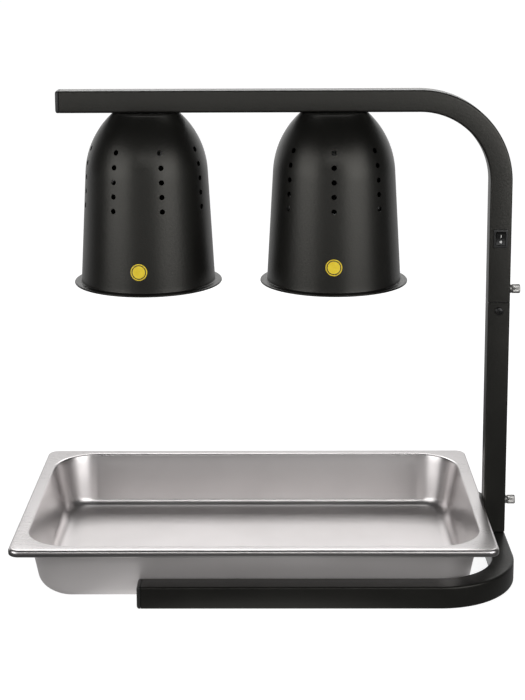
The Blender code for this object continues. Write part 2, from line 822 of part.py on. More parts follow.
def make_shade(side, x):
    """The spun shade, with its vent holes in columns round the upper half."""
    name = side + "_shade"
    shade = turned(name, shade_profile(), "black_powder_coat", (x, 0, 0), segments=shade_segments)
    thicken(shade, shade_sheet)
    bm = bmesh.new()
    cut_start = shade_rim_radius * vent_cut_start_share
    for column in range(vent_columns):
        angle = hole_turns[side] + 2 * pi * column / vent_columns - pi / 2
        outward = turn_z_to((cos(angle), sin(angle), 0))
        for row in range(vent_rows):
            height = shade_top - vent_top_drop - row * vent_row_spacing
            add_cylinder(
                bm, vent_radius, cut_start, shade_rim_radius, (0, 0, height), outward, vent_sides)
    cut(shade, add_cutter(side + "_vents", mesh_from(bm, side + "_vents"), (x, 0, 0)))


def make_lamp_fixings(side, x):
    """The hollow rod, and the nuts and washers that clamp the shade under the arm."""
    rod_bottom = holder_top - rod_in_holder
    flat_washer(
        side + "_rod", rod_radius, rod_bore_radius, rod_bottom, rod_top - rod_bottom, "zinc_steel", (x, 0, 0))
    bore = rod_radius + thread_gap
    flat_washer(
        side + "_arm_washer", arm_washer_radius, bore, arm_washer_bottom, washer_thickness,
        "zinc_steel", (x, 0, 0))
    hexagon_nut(side + "_arm_nut", x, arm_nut_bottom, "zinc_steel")
    flat_washer(
        side + "_shade_washer", shade_washer_radius, bore, shade_washer_top - washer_thickness,
        washer_thickness, "zinc_steel", (x, 0, 0))
    hexagon_nut(side + "_shade_nut", x, shade_nut_top - nut_thickness, "zinc_steel")


def make_lamp_holder(side, x):
    """The porcelain holder, its brass screw shell and the centre contact."""
    bore = rod_radius + thread_gap
    neck_bottom = holder_top - holder_neck_height
    thread_bottom = holder_top - rod_in_holder - seat_gap
    shell_seat = holder_shell_radius + seat_gap
    holder_bottom = holder_top - holder_height
    profile = [
        (bore, holder_top), (holder_neck_radius, holder_top), (holder_neck_radius, neck_bottom),
        (holder_radius, neck_bottom - holder_cone_height), (holder_radius, holder_bottom),
        (shell_seat, holder_bottom), (shell_seat, holder_seat), (holder_wire_bore_radius, holder_seat),
        (holder_wire_bore_radius, thread_bottom), (bore, thread_bottom)]
    turned(side + "_lamp_holder", profile, "porcelain", (x, 0, 0), closed=True, segments=holder_segments)
    flat_washer(
        side + "_holder_shell", holder_shell_radius, holder_shell_radius - holder_shell_wall,
        holder_seat - seat_gap - holder_shell_length, holder_shell_length, "brass", (x, 0, 0))
    bm = bmesh.new()
    add_cylinder(bm, contact_radius, contact_bottom, contact_bottom + contact_thickness)
    name = side + "_holder_contact"
    add_piece(name, mesh_from(bm, name), "brass", (x, 0, 0))


def bulb_profile():
    """The outside of the glass, from the neck in the cap down to the middle of the face."""
    neck = bulb_cap_radius - bulb_cap_wall - seat_gap
    neck_top = -bulb_cap_roof - seat_gap
    neck_bottom = -bulb_cap_length - bulb_tip_height
    face = -bulb_length + bulb_tip_height + seat_gap
    widest = face + bulb_length * bulb_widest_share
    profile = [(neck, neck_top), (neck, neck_bottom)]
    for step in range(1, bulb_flare_steps + 1):
        share = step / bulb_flare_steps
        radius = neck + (bulb_radius - neck) * sin(pi / 2 * share)
        drop = (1 - cos(pi / 2 * share)) ** bulb_flare_power
        profile.append((radius, neck_bottom + (widest - neck_bottom) * drop))
    edge_centre = (bulb_radius - bulb_face_edge_radius, face + bulb_face_sag + bulb_face_edge_radius)
    profile += arc_points(
        edge_centre, bulb_face_edge_radius, 0, -bulb_face_edge_turn, bulb_edge_steps)
    last_radius, last_height = profile[-1]
    for step in range(1, bulb_face_steps + 1):
        share = 1 - step / bulb_face_steps
        profile.append((last_radius * share, face + (last_height - face) * share * share))
    return profile


def make_bulb(side, x):
    """A reflector bulb: the contact tip, the screw cap and the glass, hollow and open at the neck."""
    place = (x, 0, bulb_cap_top)
    tip_bottom = bulb_cap_top + seat_gap
    bm = bmesh.new()
    add_cylinder(
        bm, bulb_tip_radius, 0, bulb_tip_height, top_radius=bulb_tip_radius / 2)
    add_piece(side + "_bulb_tip", mesh_from(bm, side + "_bulb_tip"), "brass", (x, 0, tip_bottom))
    inner = bulb_cap_radius - bulb_cap_wall
    cap = [(0, 0), (bulb_cap_radius * bulb_cap_top_share, 0), (bulb_cap_radius, -bulb_cap_roof / 2),
           (bulb_cap_radius, -bulb_cap_length), (inner, -bulb_cap_length), (inner, -bulb_cap_roof),
           (0, -bulb_cap_roof)]
    turned(side + "_bulb_cap", cap, "nickel_cap", place, segments=holder_segments)
    glass = turned(side + "_bulb_glass", bulb_profile(), "frosted_glass", place, segments=bulb_segments)
    thicken(glass, bulb_glass)


# Pan


def pan_ring(inset, height, corner):
    """A rounded rectangle round the pan, inset from the edge of its rim."""
    half_x = pan_length / 2 - inset - corner
    half_y = pan_width / 2 - inset - corner
    ring = []
    for quarter, (side_x, side_y) in enumerate(((1, 1), (-1, 1), (-1, -1), (1, -1))):
        centre = (side_x * half_x, side_y * half_y)
        start = pi / 2 * quarter
        ring += [(x, y, height) for x, y in arc_points(centre, corner, start, start + pi / 2, pan_corner_steps)]
    return ring


def pan_rim():
    """Inset, height and corner radius along the rim, from its lower edge to where the mouth starts."""
    centre = (pan_rim_edge_radius, pan_depth - pan_rim_edge_radius)
    edge = arc_points(centre, pan_rim_edge_radius, pi, pi / 2, pan_edge_steps)
    stations = [(0, pan_depth - pan_rim_drop, pan_rim_corner_radius)]
    return stations + [(inset, height, pan_rim_corner_radius - inset) for inset, height in edge]


def pan_mouth():
    """The same from the rim down into the wall."""
    arc = arc_points(
        (pan_rim_width, pan_depth - pan_mouth_radius), pan_mouth_radius, pi / 2, pan_wall_angle(), pan_edge_steps)
    return [(inset, height, pan_corner_at(inset)) for inset, height in arc]


def pan_foot():
    """The same from the wall to the floor."""
    inset = pan_rim_width + pan_mouth_radius + pan_wall_lean + pan_foot_radius
    centre = (inset, pan_sheet + pan_foot_radius)
    arc = arc_points(centre, pan_foot_radius, pi + pan_wall_angle(), 3 * pi / 2, pan_foot_steps)
    return [(inset, height, pan_corner_at(inset)) for inset, height in arc]


def pan_wall():
    """The top and the bottom of the wall's straight part."""
    return pan_mouth()[-1], pan_foot()[0]


def pan_corner_at(inset):
    return pan_mouth_corner_radius + pan_rim_width - inset


def pan_wall_angle():
    """How far the wall leans from upright."""
    return atan2(pan_wall_lean, pan_depth - pan_mouth_radius - pan_foot_radius - pan_sheet)


def make_pan():
    """The pressed stainless pan. It stands on the table between the legs of the base."""
    bm = bmesh.new()
    stations = pan_rim() + pan_mouth() + pan_foot()
    rows = loft(bm, [pan_ring(*station) for station in stations], closed_ends=False)
    bm.faces.new(rows[-1])
    mesh = bpy.data.meshes.new("food_pan")
    bm.to_mesh(mesh)
    bm.free()
    smooth(mesh)
    pan = add_piece("food_pan", mesh, "satin_stainless", (pan_centre_x, 0, 0))
    thicken(pan, pan_sheet)


# Wiring inside the arm


def make_terminal_block():
    """The plastic block that joins the leads, held on the back wall of the upright."""
    bm = bmesh.new()
    add_box(bm, (block_width, block_depth, block_length))
    place = (post_x, inside_half - seat_gap - block_depth / 2, block_height)
    block = add_piece("terminal_block", mesh_from(bm, "terminal_block"), "grey_plastic", place)
    bevel_edges(block, block_edge_radius, segments=1)


def spaced(points, spacing):
    """Points at about even steps along straight runs between the given ones."""
    route = [Vector(points[0])]
    for first, second in zip(points, points[1:]):
        span = Vector(second) - Vector(first)
        steps = max(1, ceil(span.length / spacing))
        route += [Vector(first) + span * step / steps for step in range(1, steps + 1)]
    return route


def make_lead(name, points, finish):
    """A round lead along the points."""
    guide = curve_along(name + "_path", points)
    guide.data.bevel_depth = lead_radius
    guide.data.bevel_resolution = 1
    guide.data.use_fill_caps = True
    bpy.context.view_layer.update()
    mesh = mesh_of(guide, name)
    smooth(mesh, lead_edge_angle)
    add_piece(name, mesh, finish)


def make_lamp_lead(side, x, offset, finish):
    """A lead from the terminal block round the bend, along the arm and down a lamp's rod."""
    bend_centre = (post_x - arm_bend_radius, arm_axis_height - arm_bend_radius)
    bend = arc_points(bend_centre, arm_bend_radius, 0, pi / 2, arm_bend_steps)
    run_height = arm_axis_height + inside_half - lead_radius - seat_gap - lead_sag
    lift = run_height - arm_axis_height
    start = (post_x, offset, block_height + block_length / 2 + seat_gap)
    route = [start]
    for place, height in bend[2:]:
        share = (height - bend[2][1]) / (arm_axis_height - bend[2][1])
        route.append((place, offset, height + lift * share))
    turn_start = x + lead_turn_radius
    route.append((turn_start, offset, run_height))
    turn_centre = (turn_start, run_height - lead_turn_radius)
    for place, height in arc_points(turn_centre, lead_turn_radius, pi / 2, pi, lead_turn_steps)[1:]:
        share = (turn_start - place) / lead_turn_radius
        route.append((place, offset * (1 - share), height))
    route.append((x, 0, holder_seat + seat_gap))
    make_lead(side + "_lamp_lead", route, finish)


def make_switch_lead():
    """A lead from the top blade of the switch up to the terminal block."""
    blade_y = -tube_half - seat_gap + switch_body_depth + seat_gap + terminal_length / 2
    blade_top = switch_height + terminal_spacing / 2 + terminal_thickness / 2
    block_bottom = block_height - block_length / 2
    start = (post_x, blade_y, blade_top + seat_gap)
    end = (post_x, inside_half - seat_gap - block_depth / 2, block_bottom - seat_gap)
    make_lead("switch_lead", spaced([start, end], lead_point_spacing), "brown_insulation")


clear_scene()
make_materials()
make_base()
make_lower_post()
make_post_screw()
for screw_level in thumb_screw_heights:
    make_thumb_screw(screw_level)
make_upper_arm()
make_cord_gland()
make_switch()
for lamp_side, lamp_x in lamp_centres_x.items():
    make_shade(lamp_side, lamp_x)
    make_lamp_fixings(lamp_side, lamp_x)
    make_lamp_holder(lamp_side, lamp_x)
    make_bulb(lamp_side, lamp_x)
make_pan()
make_terminal_block()
make_lamp_lead("left", lamp_centres_x["left"], lead_side_offset, "blue_insulation")
make_lamp_lead("right", lamp_centres_x["right"], -lead_side_offset, "brown_insulation")
make_switch_lead()
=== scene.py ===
# Food heat lamp: the looks of a counter food warmer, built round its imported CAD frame.
# X runs along the arm, Y from the switch side to the back and Z up. Lengths are in metres.
import json
from math import asin, atan2, ceil, cos, pi, radians, sin, sqrt, tan
import bmesh
import bpy
from mathutils import Matrix, Vector


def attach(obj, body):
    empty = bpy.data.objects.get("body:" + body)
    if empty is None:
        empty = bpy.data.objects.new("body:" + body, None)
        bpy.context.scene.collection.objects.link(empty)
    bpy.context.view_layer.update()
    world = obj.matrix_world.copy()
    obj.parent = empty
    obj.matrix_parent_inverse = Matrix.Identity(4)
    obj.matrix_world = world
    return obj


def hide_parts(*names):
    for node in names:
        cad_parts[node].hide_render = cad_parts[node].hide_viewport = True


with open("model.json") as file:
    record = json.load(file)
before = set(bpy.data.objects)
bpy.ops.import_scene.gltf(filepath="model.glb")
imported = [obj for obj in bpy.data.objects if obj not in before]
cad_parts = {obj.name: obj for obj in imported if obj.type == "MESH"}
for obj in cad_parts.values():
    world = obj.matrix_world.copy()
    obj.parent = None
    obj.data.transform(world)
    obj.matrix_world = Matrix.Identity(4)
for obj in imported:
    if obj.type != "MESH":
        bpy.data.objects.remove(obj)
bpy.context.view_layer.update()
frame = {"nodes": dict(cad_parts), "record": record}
cadNodes = frame["nodes"]


# Finishes: on each a soft cloud of colour, a roughness that follows cloud and grain, and a fine grain

cloudSpan = (0.35, 0.65)  # the part of the noise's range that the colours and the roughness follow
bumpStrength = 0.6

coatLook = {  # what the three black coats share
    "roughness": (0.31, 0.38), "metallic": 0, "cloudScale": 14, "grainScale": (1500, 1500, 1500),
    "grainDepth": 0.00008, "peel": {"scale": 420, "share": 2.2}, "slot": "black_powder_coat"}
coatTint = (1, 0.978, 0.91, 1)

finishLooks = {
    "powderCoat": {
        **coatLook, "dark": (0.0062, 0.0061, 0.0055), "light": (0.0090, 0.0088, 0.0079),
        "constants": {"Specular IOR Level": 0.5, "Specular Tint": coatTint}},
    # a less glossy copy of the coat on the base, as painted shade on the tops of the legs
    "baseCoatPaintedShade": {
        **coatLook, "dark": (0.0062, 0.0061, 0.0055), "light": (0.0090, 0.0088, 0.0079),
        "constants": {"Specular IOR Level": 0.33, "Specular Tint": coatTint}},
    # a darker, less glossy copy of the coat on the lamp shades, as painted shade on their domes and bodies
    "lampShadeCoatPaintedShade": {
        **coatLook, "dark": (0.0036, 0.0035, 0.0031), "light": (0.0054, 0.0053, 0.0047),
        "constants": {"Specular IOR Level": 0.44, "Specular Tint": coatTint}},
    "blackPlastic": {
        "dark": (0.010, 0.010, 0.010), "light": (0.014, 0.014, 0.014),
        "roughness": (0.34, 0.44), "metallic": 0, "cloudScale": 60,
        "grainScale": (2600, 2600, 2600), "grainDepth": 0.00002, "slot": "black_plastic"},
    "brightNickel": {
        "dark": (0.50, 0.49, 0.48), "light": (0.60, 0.59, 0.57),
        "roughness": (0.36, 0.46), "metallic": 1, "cloudScale": 240,
        "grainScale": (3000, 900, 900), "grainDepth": 0.00001, "slot": "bright_steel"},
    "zincPlate": {
        "dark": (0.46, 0.47, 0.48), "light": (0.60, 0.60, 0.58),
        "roughness": (0.32, 0.48), "metallic": 1, "cloudScale": 90,
        "grainScale": (800, 800, 800), "grainDepth": 0.00002, "slot": "zinc_steel"},
    "blackOxide": {
        "dark": (0.016, 0.016, 0.016), "light": (0.026, 0.025, 0.024),
        "roughness": (0.28, 0.38), "metallic": 0.5, "cloudScale": 300,
        "grainScale": (2400, 2400, 2400), "grainDepth": 0.00001, "slot": "black_steel"},
    "brassSheet": {
        "dark": (0.62, 0.42, 0.16), "light": (0.76, 0.56, 0.25),
        "roughness": (0.24, 0.38), "metallic": 1, "cloudScale": 120,
        "grainScale": (1500, 1500, 300), "grainDepth": 0.00001, "slot": "brass"},
    "porcelain": {
        "dark": (0.78, 0.76, 0.71), "light": (0.86, 0.85, 0.81),
        "roughness": (0.14, 0.26), "metallic": 0, "cloudScale": 70,
        "grainScale": (500, 500, 500), "grainDepth": 0.00002, "slot": "porcelain"},
    "nickelCap": {
        "dark": (0.50, 0.49, 0.47), "light": (0.64, 0.63, 0.60),
        "roughness": (0.26, 0.38), "metallic": 1, "cloudScale": 110,
        "grainScale": (900, 900, 300), "grainDepth": 0.00001, "slot": "nickel_cap"},
    "satinStainless": {
        "dark": (0.608, 0.584, 0.580), "light": (0.654, 0.629, 0.625),
        "roughness": (0.290, 0.306), "metallic": 1, "cloudScale": 9,
        "rubbed": ((0.0011, 0.0035, 0.20, 0), (0.058, 0.063, 0, -0.02)),
        "grainScale": (60, 1900, 1900), "grainDepth": 0.0000002, "slot": "satin_stainless"},
    # the pan's outside: duller steel, and painted lighter than the inside as painted light on the outer
    # walls
    "dullStainlessPaintedLight": {
        "dark": (0.735, 0.703, 0.696), "light": (0.785, 0.752, 0.746),
        "roughness": (0.40, 0.43), "metallic": 0.66, "cloudScale": 9,
        "grainScale": (60, 1900, 1900), "grainDepth": 0.0000002},
    "greyPlastic": {
        "dark": (0.46, 0.46, 0.44), "light": (0.56, 0.56, 0.53),
        "roughness": (0.42, 0.52), "metallic": 0, "cloudScale": 80,
        "grainScale": (1800, 1800, 1800), "grainDepth": 0.00002, "slot": "grey_plastic"},
    "blueLead": {
        "dark": (0.030, 0.085, 0.300), "light": (0.050, 0.130, 0.420),
        "roughness": (0.40, 0.50), "metallic": 0, "cloudScale": 90,
        "grainScale": (1200, 1200, 1200), "grainDepth": 0.00001, "slot": "blue_insulation"},
    "brownLead": {
        "dark": (0.130, 0.055, 0.025), "light": (0.200, 0.090, 0.040),
        "roughness": (0.40, 0.50), "metallic": 0, "cloudScale": 90,
        "grainScale": (1200, 1200, 1200), "grainDepth": 0.00001, "slot": "brown_insulation"},
    "frostedGlass": {
        "dark": (0.80, 0.79, 0.75), "light": (0.88, 0.87, 0.84),
        "roughness": (0.30, 0.42), "metallic": 0, "cloudScale": 40,
        "grainScale": (2200, 2200, 2200), "grainDepth": 0.00003, "slot": "frosted_glass",
        "constants": {"Subsurface Weight": 0.15, "Coat Weight": 0.3, "Coat Roughness": 0.12}},
    # the bulb's silvered flare, its colour painted dark as painted shade so that the inside of the lamp
    # shade looks black through the vents
    "silveredGlassPaintedShade": {
        "dark": (0.10, 0.10, 0.10), "light": (0.15, 0.15, 0.145),
        "roughness": (0.22, 0.32), "metallic": 1, "cloudScale": 40,
        "grainScale": (900, 900, 900), "grainDepth": 0.00001},
    "yellowVinyl": {
        "dark": (0.78, 0.56, 0.020), "light": (0.86, 0.66, 0.035),
        "roughness": (0.26, 0.36), "metallic": 0, "cloudScale": 160,
        "grainScale": (1600, 1600, 1600), "grainDepth": 0.00001},
    "blackVinyl": {
        "dark": (0.012, 0.012, 0.011), "light": (0.020, 0.019, 0.017),
        "roughness": (0.26, 0.36), "metallic": 0, "cloudScale": 160,
        "grainScale": (1600, 1600, 1600), "grainDepth": 0.00001},
    "whiteInk": {
        "dark": (0.78, 0.78, 0.76), "light": (0.88, 0.88, 0.86),
        "roughness": (0.40, 0.50), "metallic": 0, "cloudScale": 400,
        "grainScale": (3000, 3000, 3000), "grainDepth": 0.00001},
}


def addNode(tree, kind, inputs=None, **settings):
    # Each input is a value, or the output of another node that is linked to it.
    made = tree.nodes.new(kind)
    for key, value in settings.items():
        setattr(made, key, value)
    for key, value in (inputs or {}).items():
        if isinstance(value, bpy.types.NodeSocket):
            tree.links.new(value, made.inputs[key])
        else:
            made.inputs[key].default_value = value
    return made


def addMath(tree, operation, *values):
    return addNode(tree, "ShaderNodeMath", dict(enumerate(values)), operation=operation).outputs[0]


def addRange(tree, value, start, end, low, high, **settings):
    made = addNode(tree, "ShaderNodeMapRange", {
        "Value": value, "From Min": start, "From Max": end, "To Min": low, "To Max": high}, **settings)
    return made.outputs["Result"]


def addNoise(tree, place, scale, detail):
    inputs = {"Vector": place, "Scale": scale, "Detail": detail}
    return addNode(tree, "ShaderNodeTexNoise", inputs).outputs["Fac"]


def makeFinish(name, look):
    material = bpy.data.materials.new(name)
    material.use_nodes = True
    tree = material.node_tree
    shader = tree.nodes["Principled BSDF"]
    shader.inputs["Metallic"].default_value = look["metallic"]
    for key, value in look.get("constants", {}).items():
        shader.inputs[key].default_value = value
    place = addNode(tree, "ShaderNodeTexCoord").outputs["Object"]
    cloud = addNoise(tree, place, look["cloudScale"], 3)
    colour = addNode(tree, "ShaderNodeValToRGB", {"Fac": cloud})
    low, high = colour.color_ramp.elements
    low.position, low.color = cloudSpan[0], (*look["dark"], 1)
    high.position, high.color = cloudSpan[1], (*look["light"], 1)
    tree.links.new(colour.outputs["Color"], shader.inputs["Base Color"])
    stretched = addNode(tree, "ShaderNodeMapping", {"Vector": place, "Scale": look["grainScale"]})
    grain = addNoise(tree, stretched.outputs["Vector"], 1, 2)
    halfGrain = addMath(tree, "MULTIPLY", grain, 0.5)
    mixed = addMath(tree, "MULTIPLY_ADD", cloud, 0.5, halfGrain)
    roughness = addRange(tree, mixed, *cloudSpan, *look["roughness"])
    if "rubbed" in look:  # steps of roughness by height
        height = addNode(tree, "ShaderNodeSeparateXYZ", {"Vector": place}).outputs["Z"]
        for bottom, top, below, above in look["rubbed"]:
            roughness = addMath(tree, "ADD", roughness, addRange(tree, height, bottom, top, below, above))
    tree.links.new(roughness, shader.inputs["Roughness"])
    relief = grain
    if "peel" in look:  # the slight orange peel of a baked coat
        peel = addNoise(tree, place, look["peel"]["scale"], 2)
        relief = addMath(tree, "MULTIPLY_ADD", peel, look["peel"]["share"], grain)
    bump = addNode(tree, "ShaderNodeBump", {
        "Strength": bumpStrength, "Distance": look["grainDepth"], "Height": relief})
    tree.links.new(bump.outputs["Normal"], shader.inputs["Normal"])
    return material


finishes = {name: makeFinish(name, look) for name, look in finishLooks.items()}
print("finishes:", len(finishes))


# Helpers for meshes

sharpFrom = 32  # degrees; an edge that turns further is sharp


def objectFrom(name, bm):
    mesh = bpy.data.meshes.new(name)
    bm.to_mesh(mesh)
    bm.free()
    made = bpy.data.objects.new(name, mesh)
    bpy.context.scene.collection.objects.link(made)
    return made


def smoothMesh(mesh, sharpAngle):
    mesh.shade_smooth()
    mesh.set_sharp_from_angle(angle=radians(sharpAngle))


def newPiece(name, bm, finish, body, replaced=(), sharpAngle=sharpFrom):
    bmesh.ops.recalc_face_normals(bm, faces=bm.faces)
    piece = objectFrom(name, bm)
    smoothMesh(piece.data, sharpAngle)
    piece.data.materials.append(finishes[finish])
    if body:
        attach(piece, body)
    if replaced:
        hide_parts(*replaced)
    return piece


def arcPoints(centre, radius, start, end, steps):
    turns = [start + (end - start) * step / steps for step in range(steps + 1)]
    return [(centre[0] + radius * cos(turn), centre[1] + radius * sin(turn)) for turn in turns]


boxCorners = ((1, 1), (-1, 1), (-1, -1), (1, -1))


def roundedBox(halfWide, halfHigh, radius, steps):
    outline = []
    for quarter, (sideX, sideY) in enumerate(boxCorners):
        centre = (sideX * (halfWide - radius), sideY * (halfHigh - radius))
        outline += arcPoints(centre, radius, pi / 2 * quarter, pi / 2 * (quarter + 1), steps)
    return outline


def loft(bm, rings, closeStart=False, closeEnd=False, loop=False):
    rows = [[bm.verts.new(point) for point in ring] for ring in rings]
    pairs = list(zip(rows, rows[1:])) + ([(rows[-1], rows[0])] if loop else [])
    for first, second in pairs:
        for index, vertex in enumerate(first):
            after = (index + 1) % len(first)
            bm.faces.new((vertex, first[after], second[after], second[index]))
    if closeStart:
        bm.faces.new(rows[0])
    if closeEnd:
        bm.faces.new(rows[-1])
    return rows


def turn(bm, profile, segments, matrix=None, loop=False):
    # Turns (radius, height) points about Z; a radius of 0 closes the end in a point.
    matrix = matrix or Matrix.Identity(4)
    rows = []
    for radius, height in profile:
        if radius == 0:
            rows.append([bm.verts.new(matrix @ Vector((0, 0, height)))])
            continue
        ring = []
        for index in range(segments):
            angle = 2 * pi * index / segments
            ring.append(bm.verts.new(matrix @ Vector((radius * cos(angle), radius * sin(angle), height))))
        rows.append(ring)
    pairs = list(zip(rows, rows[1:])) + ([(rows[-1], rows[0])] if loop else [])
    for first, second in pairs:
        for index in range(segments):
            after = (index + 1) % segments
            corners = [first[index % len(first)], first[after % len(first)],
                       second[after % len(second)], second[index % len(second)]]
            bm.faces.new(list(dict.fromkeys(corners)))  # a triangle where a ring is one point
    return rows


def turnZTo(direction, place):
    turned = Vector((0, 0, 1)).rotation_difference(Vector(direction)).to_matrix().to_4x4()
    return Matrix.Translation(place) @ turned


def cutWith(piece, cutters):
    # Cuts the cutters out one after another by exact Booleans, and drops them.
    for cutter in cutters:
        boolean = piece.modifiers.new("cut", "BOOLEAN")
        boolean.operation = "DIFFERENCE"
        boolean.solver = "EXACT"
        boolean.object = cutter
    bpy.context.view_layer.update()
    graph = bpy.context.evaluated_depsgraph_get()
    shaped = bpy.data.meshes.new_from_object(piece.evaluated_get(graph))
    piece.modifiers.clear()
    materials = list(piece.data.materials)
    piece.data = shaped
    shaped.materials.clear()
    for material in materials:
        shaped.materials.append(material)
    shaped.set_sharp_from_angle(angle=radians(sharpFrom))
    for cutter in cutters:
        bpy.data.objects.remove(cutter, do_unlink=True)


def cutterFrom(bm):
    bmesh.ops.recalc_face_normals(bm, faces=bm.faces)
    return objectFrom("cutter", bm)


# Square tubes: base, lower post and upper arm

seatGap = 0.0003  # between pieces that touch

tubeLook = {
    "half": 0.0125, "wall": 0.0015, "cornerRadius": 0.0025, "cornerSteps": 6, "endRound": 0.0004,
    "leastRadius": 0.0002, "legLine": 0.15353, "baseEnd": -0.1414, "baseCorner": 0.078, "bendSteps": 40,
    "postX": 0.2598, "jointHeight": 0.3006, "armTop": 0.5443, "armEnd": -0.2368, "armBend": 0.0925,
    "spigotHalf": 0.0107, "spigotTop": 0.095, "spigotWall": 0.002, "spigotCorner": 0.0022,
    "spigotEnd": 0.0005}


def tubeRings(path, across, half, radius, ends):
    # Rounded-square rings round a flat path; across is the path plane's normal.
    steps = tubeLook["cornerSteps"]
    last = len(path) - 1
    rings = []
    for index, point in enumerate(path):
        before, after = path[max(index - 1, 0)], path[min(index + 1, last)]
        along = (after - before).normalized()
        side = across.cross(along)
        bend = (point - before).normalized().dot((after - point).normalized()) if 0 < index < last else 1
        widen = 1 / sqrt((1 + bend) / 2)
        inset = ends if index in (0, last) else 0
        corner = max(radius - inset, tubeLook["leastRadius"])
        outline = roundedBox(half - inset, half - inset, corner, steps)
        rings.append([point + side * (u * widen) + across * v for u, v in outline])
    return rings


def squareTube(bm, path, across, half, wall, radius, endRound):
    # A hollow tube, with its cut ends just rounded off.
    first = (path[1] - path[0]).normalized()
    last = (path[-1] - path[-2]).normalized()
    outerPath = [path[0], path[0] + first * endRound, *path[1:-1], path[-1] - last * endRound, path[-1]]
    outer = tubeRings(outerPath, across, half, radius, endRound)
    inner = tubeRings(path, across, half - wall, radius - wall, 0)
    loft(bm, outer + inner[::-1], loop=True)


def frameTube(bm, path, across):
    look = tubeLook
    squareTube(bm, path, across, look["half"], look["wall"], look["cornerRadius"], look["endRound"])


def makeBase():
    look = tubeLook
    cornerX, cornerY = look["postX"] - look["baseCorner"], look["legLine"] - look["baseCorner"]
    front = arcPoints((cornerX, -cornerY), look["baseCorner"], -pi / 2, 0, look["bendSteps"])
    rear = arcPoints((cornerX, cornerY), look["baseCorner"], 0, pi / 2, look["bendSteps"])
    line = [(look["baseEnd"], -look["legLine"]), *front, *rear, (look["baseEnd"], look["legLine"])]
    bm = bmesh.new()
    path = [Vector((x, y, look["half"])) for x, y in line]
    frameTube(bm, path, Vector((0, 0, 1)))
    spigot = [Vector((look["postX"], 0, z)) for z in (2 * look["half"] - look["wall"], look["spigotTop"])]
    squareTube(bm, spigot, Vector((0, 1, 0)), look["spigotHalf"], look["spigotWall"],
               look["spigotCorner"], look["spigotEnd"])
    # the base takes the less glossy copy of the coat, as painted shade
    return newPiece("baseTube", bm, "baseCoatPaintedShade", "base", ["base_frame"])


def makeLowerPost():
    look = tubeLook
    bm = bmesh.new()
    path = [Vector((look["postX"], 0, z)) for z in (2 * look["half"] + seatGap, look["jointHeight"])]
    frameTube(bm, path, Vector((0, 1, 0)))
    return newPiece("lowerPostTube", bm, "powderCoat", "post", ["lower_post"])


def makeUpperArm():
    look = tubeLook
    axisHeight = look["armTop"] - look["half"]
    centre = (look["postX"] - look["armBend"], axisHeight - look["armBend"])
    bend = arcPoints(centre, look["armBend"], 0, pi / 2, look["bendSteps"])
    line = [(look["postX"], look["jointHeight"] + seatGap), *bend, (look["armEnd"], axisHeight)]
    bm = bmesh.new()
    path = [Vector((x, 0, z)) for x, z in line]
    frameTube(bm, path, Vector((0, 1, 0)))
    return newPiece("upperArmTube", bm, "powderCoat", "arm", ["upper_arm"])


makeBase()
makeLowerPost()
makeUpperArm()
print("stand: base, lower post and upper arm")


# End caps

capLook = {
    "flange": 0.004, "edge": 0.0024, "edgeSteps": 4, "rearEdge": 0.0002, "plugHalf": 0.0107,
    "plugLength": 0.012, "plugTaper": 0.0008, "plugCorner": 0.001, "baseFace": -0.1457, "armFace": -0.2411}


def makeEndCap(name, place, body, replaced):
    # A plastic plug whose face is to the left, with soft edges.
    look = capLook
    half, radius, flange = tubeLook["half"], tubeLook["cornerRadius"], look["flange"]
    rings = []
    for step in range(look["edgeSteps"] + 1):
        angle = pi / 2 * step / look["edgeSteps"]
        depth, inset = look["edge"] * (1 - cos(angle)), look["edge"] * (1 - sin(angle))
        rings.append((depth, half - inset, radius))
    rings.append((flange - look["rearEdge"], half, radius))
    rings.append((flange, half - look["rearEdge"], radius))
    rings.append((flange, look["plugHalf"], look["plugCorner"]))
    rings.append((flange + look["plugLength"], look["plugHalf"] - look["plugTaper"], look["plugCorner"]))
    loops = []
    for depth, reach, corner in rings:
        outline = roundedBox(reach, reach, corner, tubeLook["cornerSteps"])
        loops.append([(place[0] + depth, place[1] + y, place[2] + z) for y, z in outline])
    bm = bmesh.new()
    loft(bm, loops, True, True)
    return newPiece(name, bm, "blackPlastic", body, [replaced])


for capName, sign in (("Front", -1), ("Rear", 1)):
    capPlace = (capLook["baseFace"], sign * tubeLook["legLine"], tubeLook["half"])
    makeEndCap("baseCap" + capName, capPlace, "base", "base_end_cap_" + capName.lower())
makeEndCap("armCap", (capLook["armFace"], 0, tubeLook["armTop"] - tubeLook["half"]), "arm", "arm_end_cap")
print("end caps")


# Shades

shadeLook = {
    "centres": {"left": -0.1405, "right": 0.0715}, "turns": {"left": -27, "right": -2},
    "top": 0.5190, "rim": 0.3248, "rimRadius": 0.084, "footRadius": 0.0762, "shoulderRadius": 0.0691,
    "shoulder": 0.453, "domeRadius": 0.095, "crownHole": 0.0053, "crownRound": 0.004, "sheet": 0.001,
    "lipRadius": 0.0011, "footFillet": 0.0009, "segments": 192, "crownSteps": 5, "domeSteps": 20,
    "bodyStep": 0.006, "filletSteps": 6, "lipSteps": 8,
    "ventRadius": 0.003, "ventTop": 0.481, "ventStep": 0.016, "ventRows": 5, "ventColumns": 8,
    "ventSides": 24, "ventFrom": 0.045, "ventTo": 0.085,
    "rearTurn": {"left": 0, "right": 12}, "rearSines": (0.3, 0.9)}


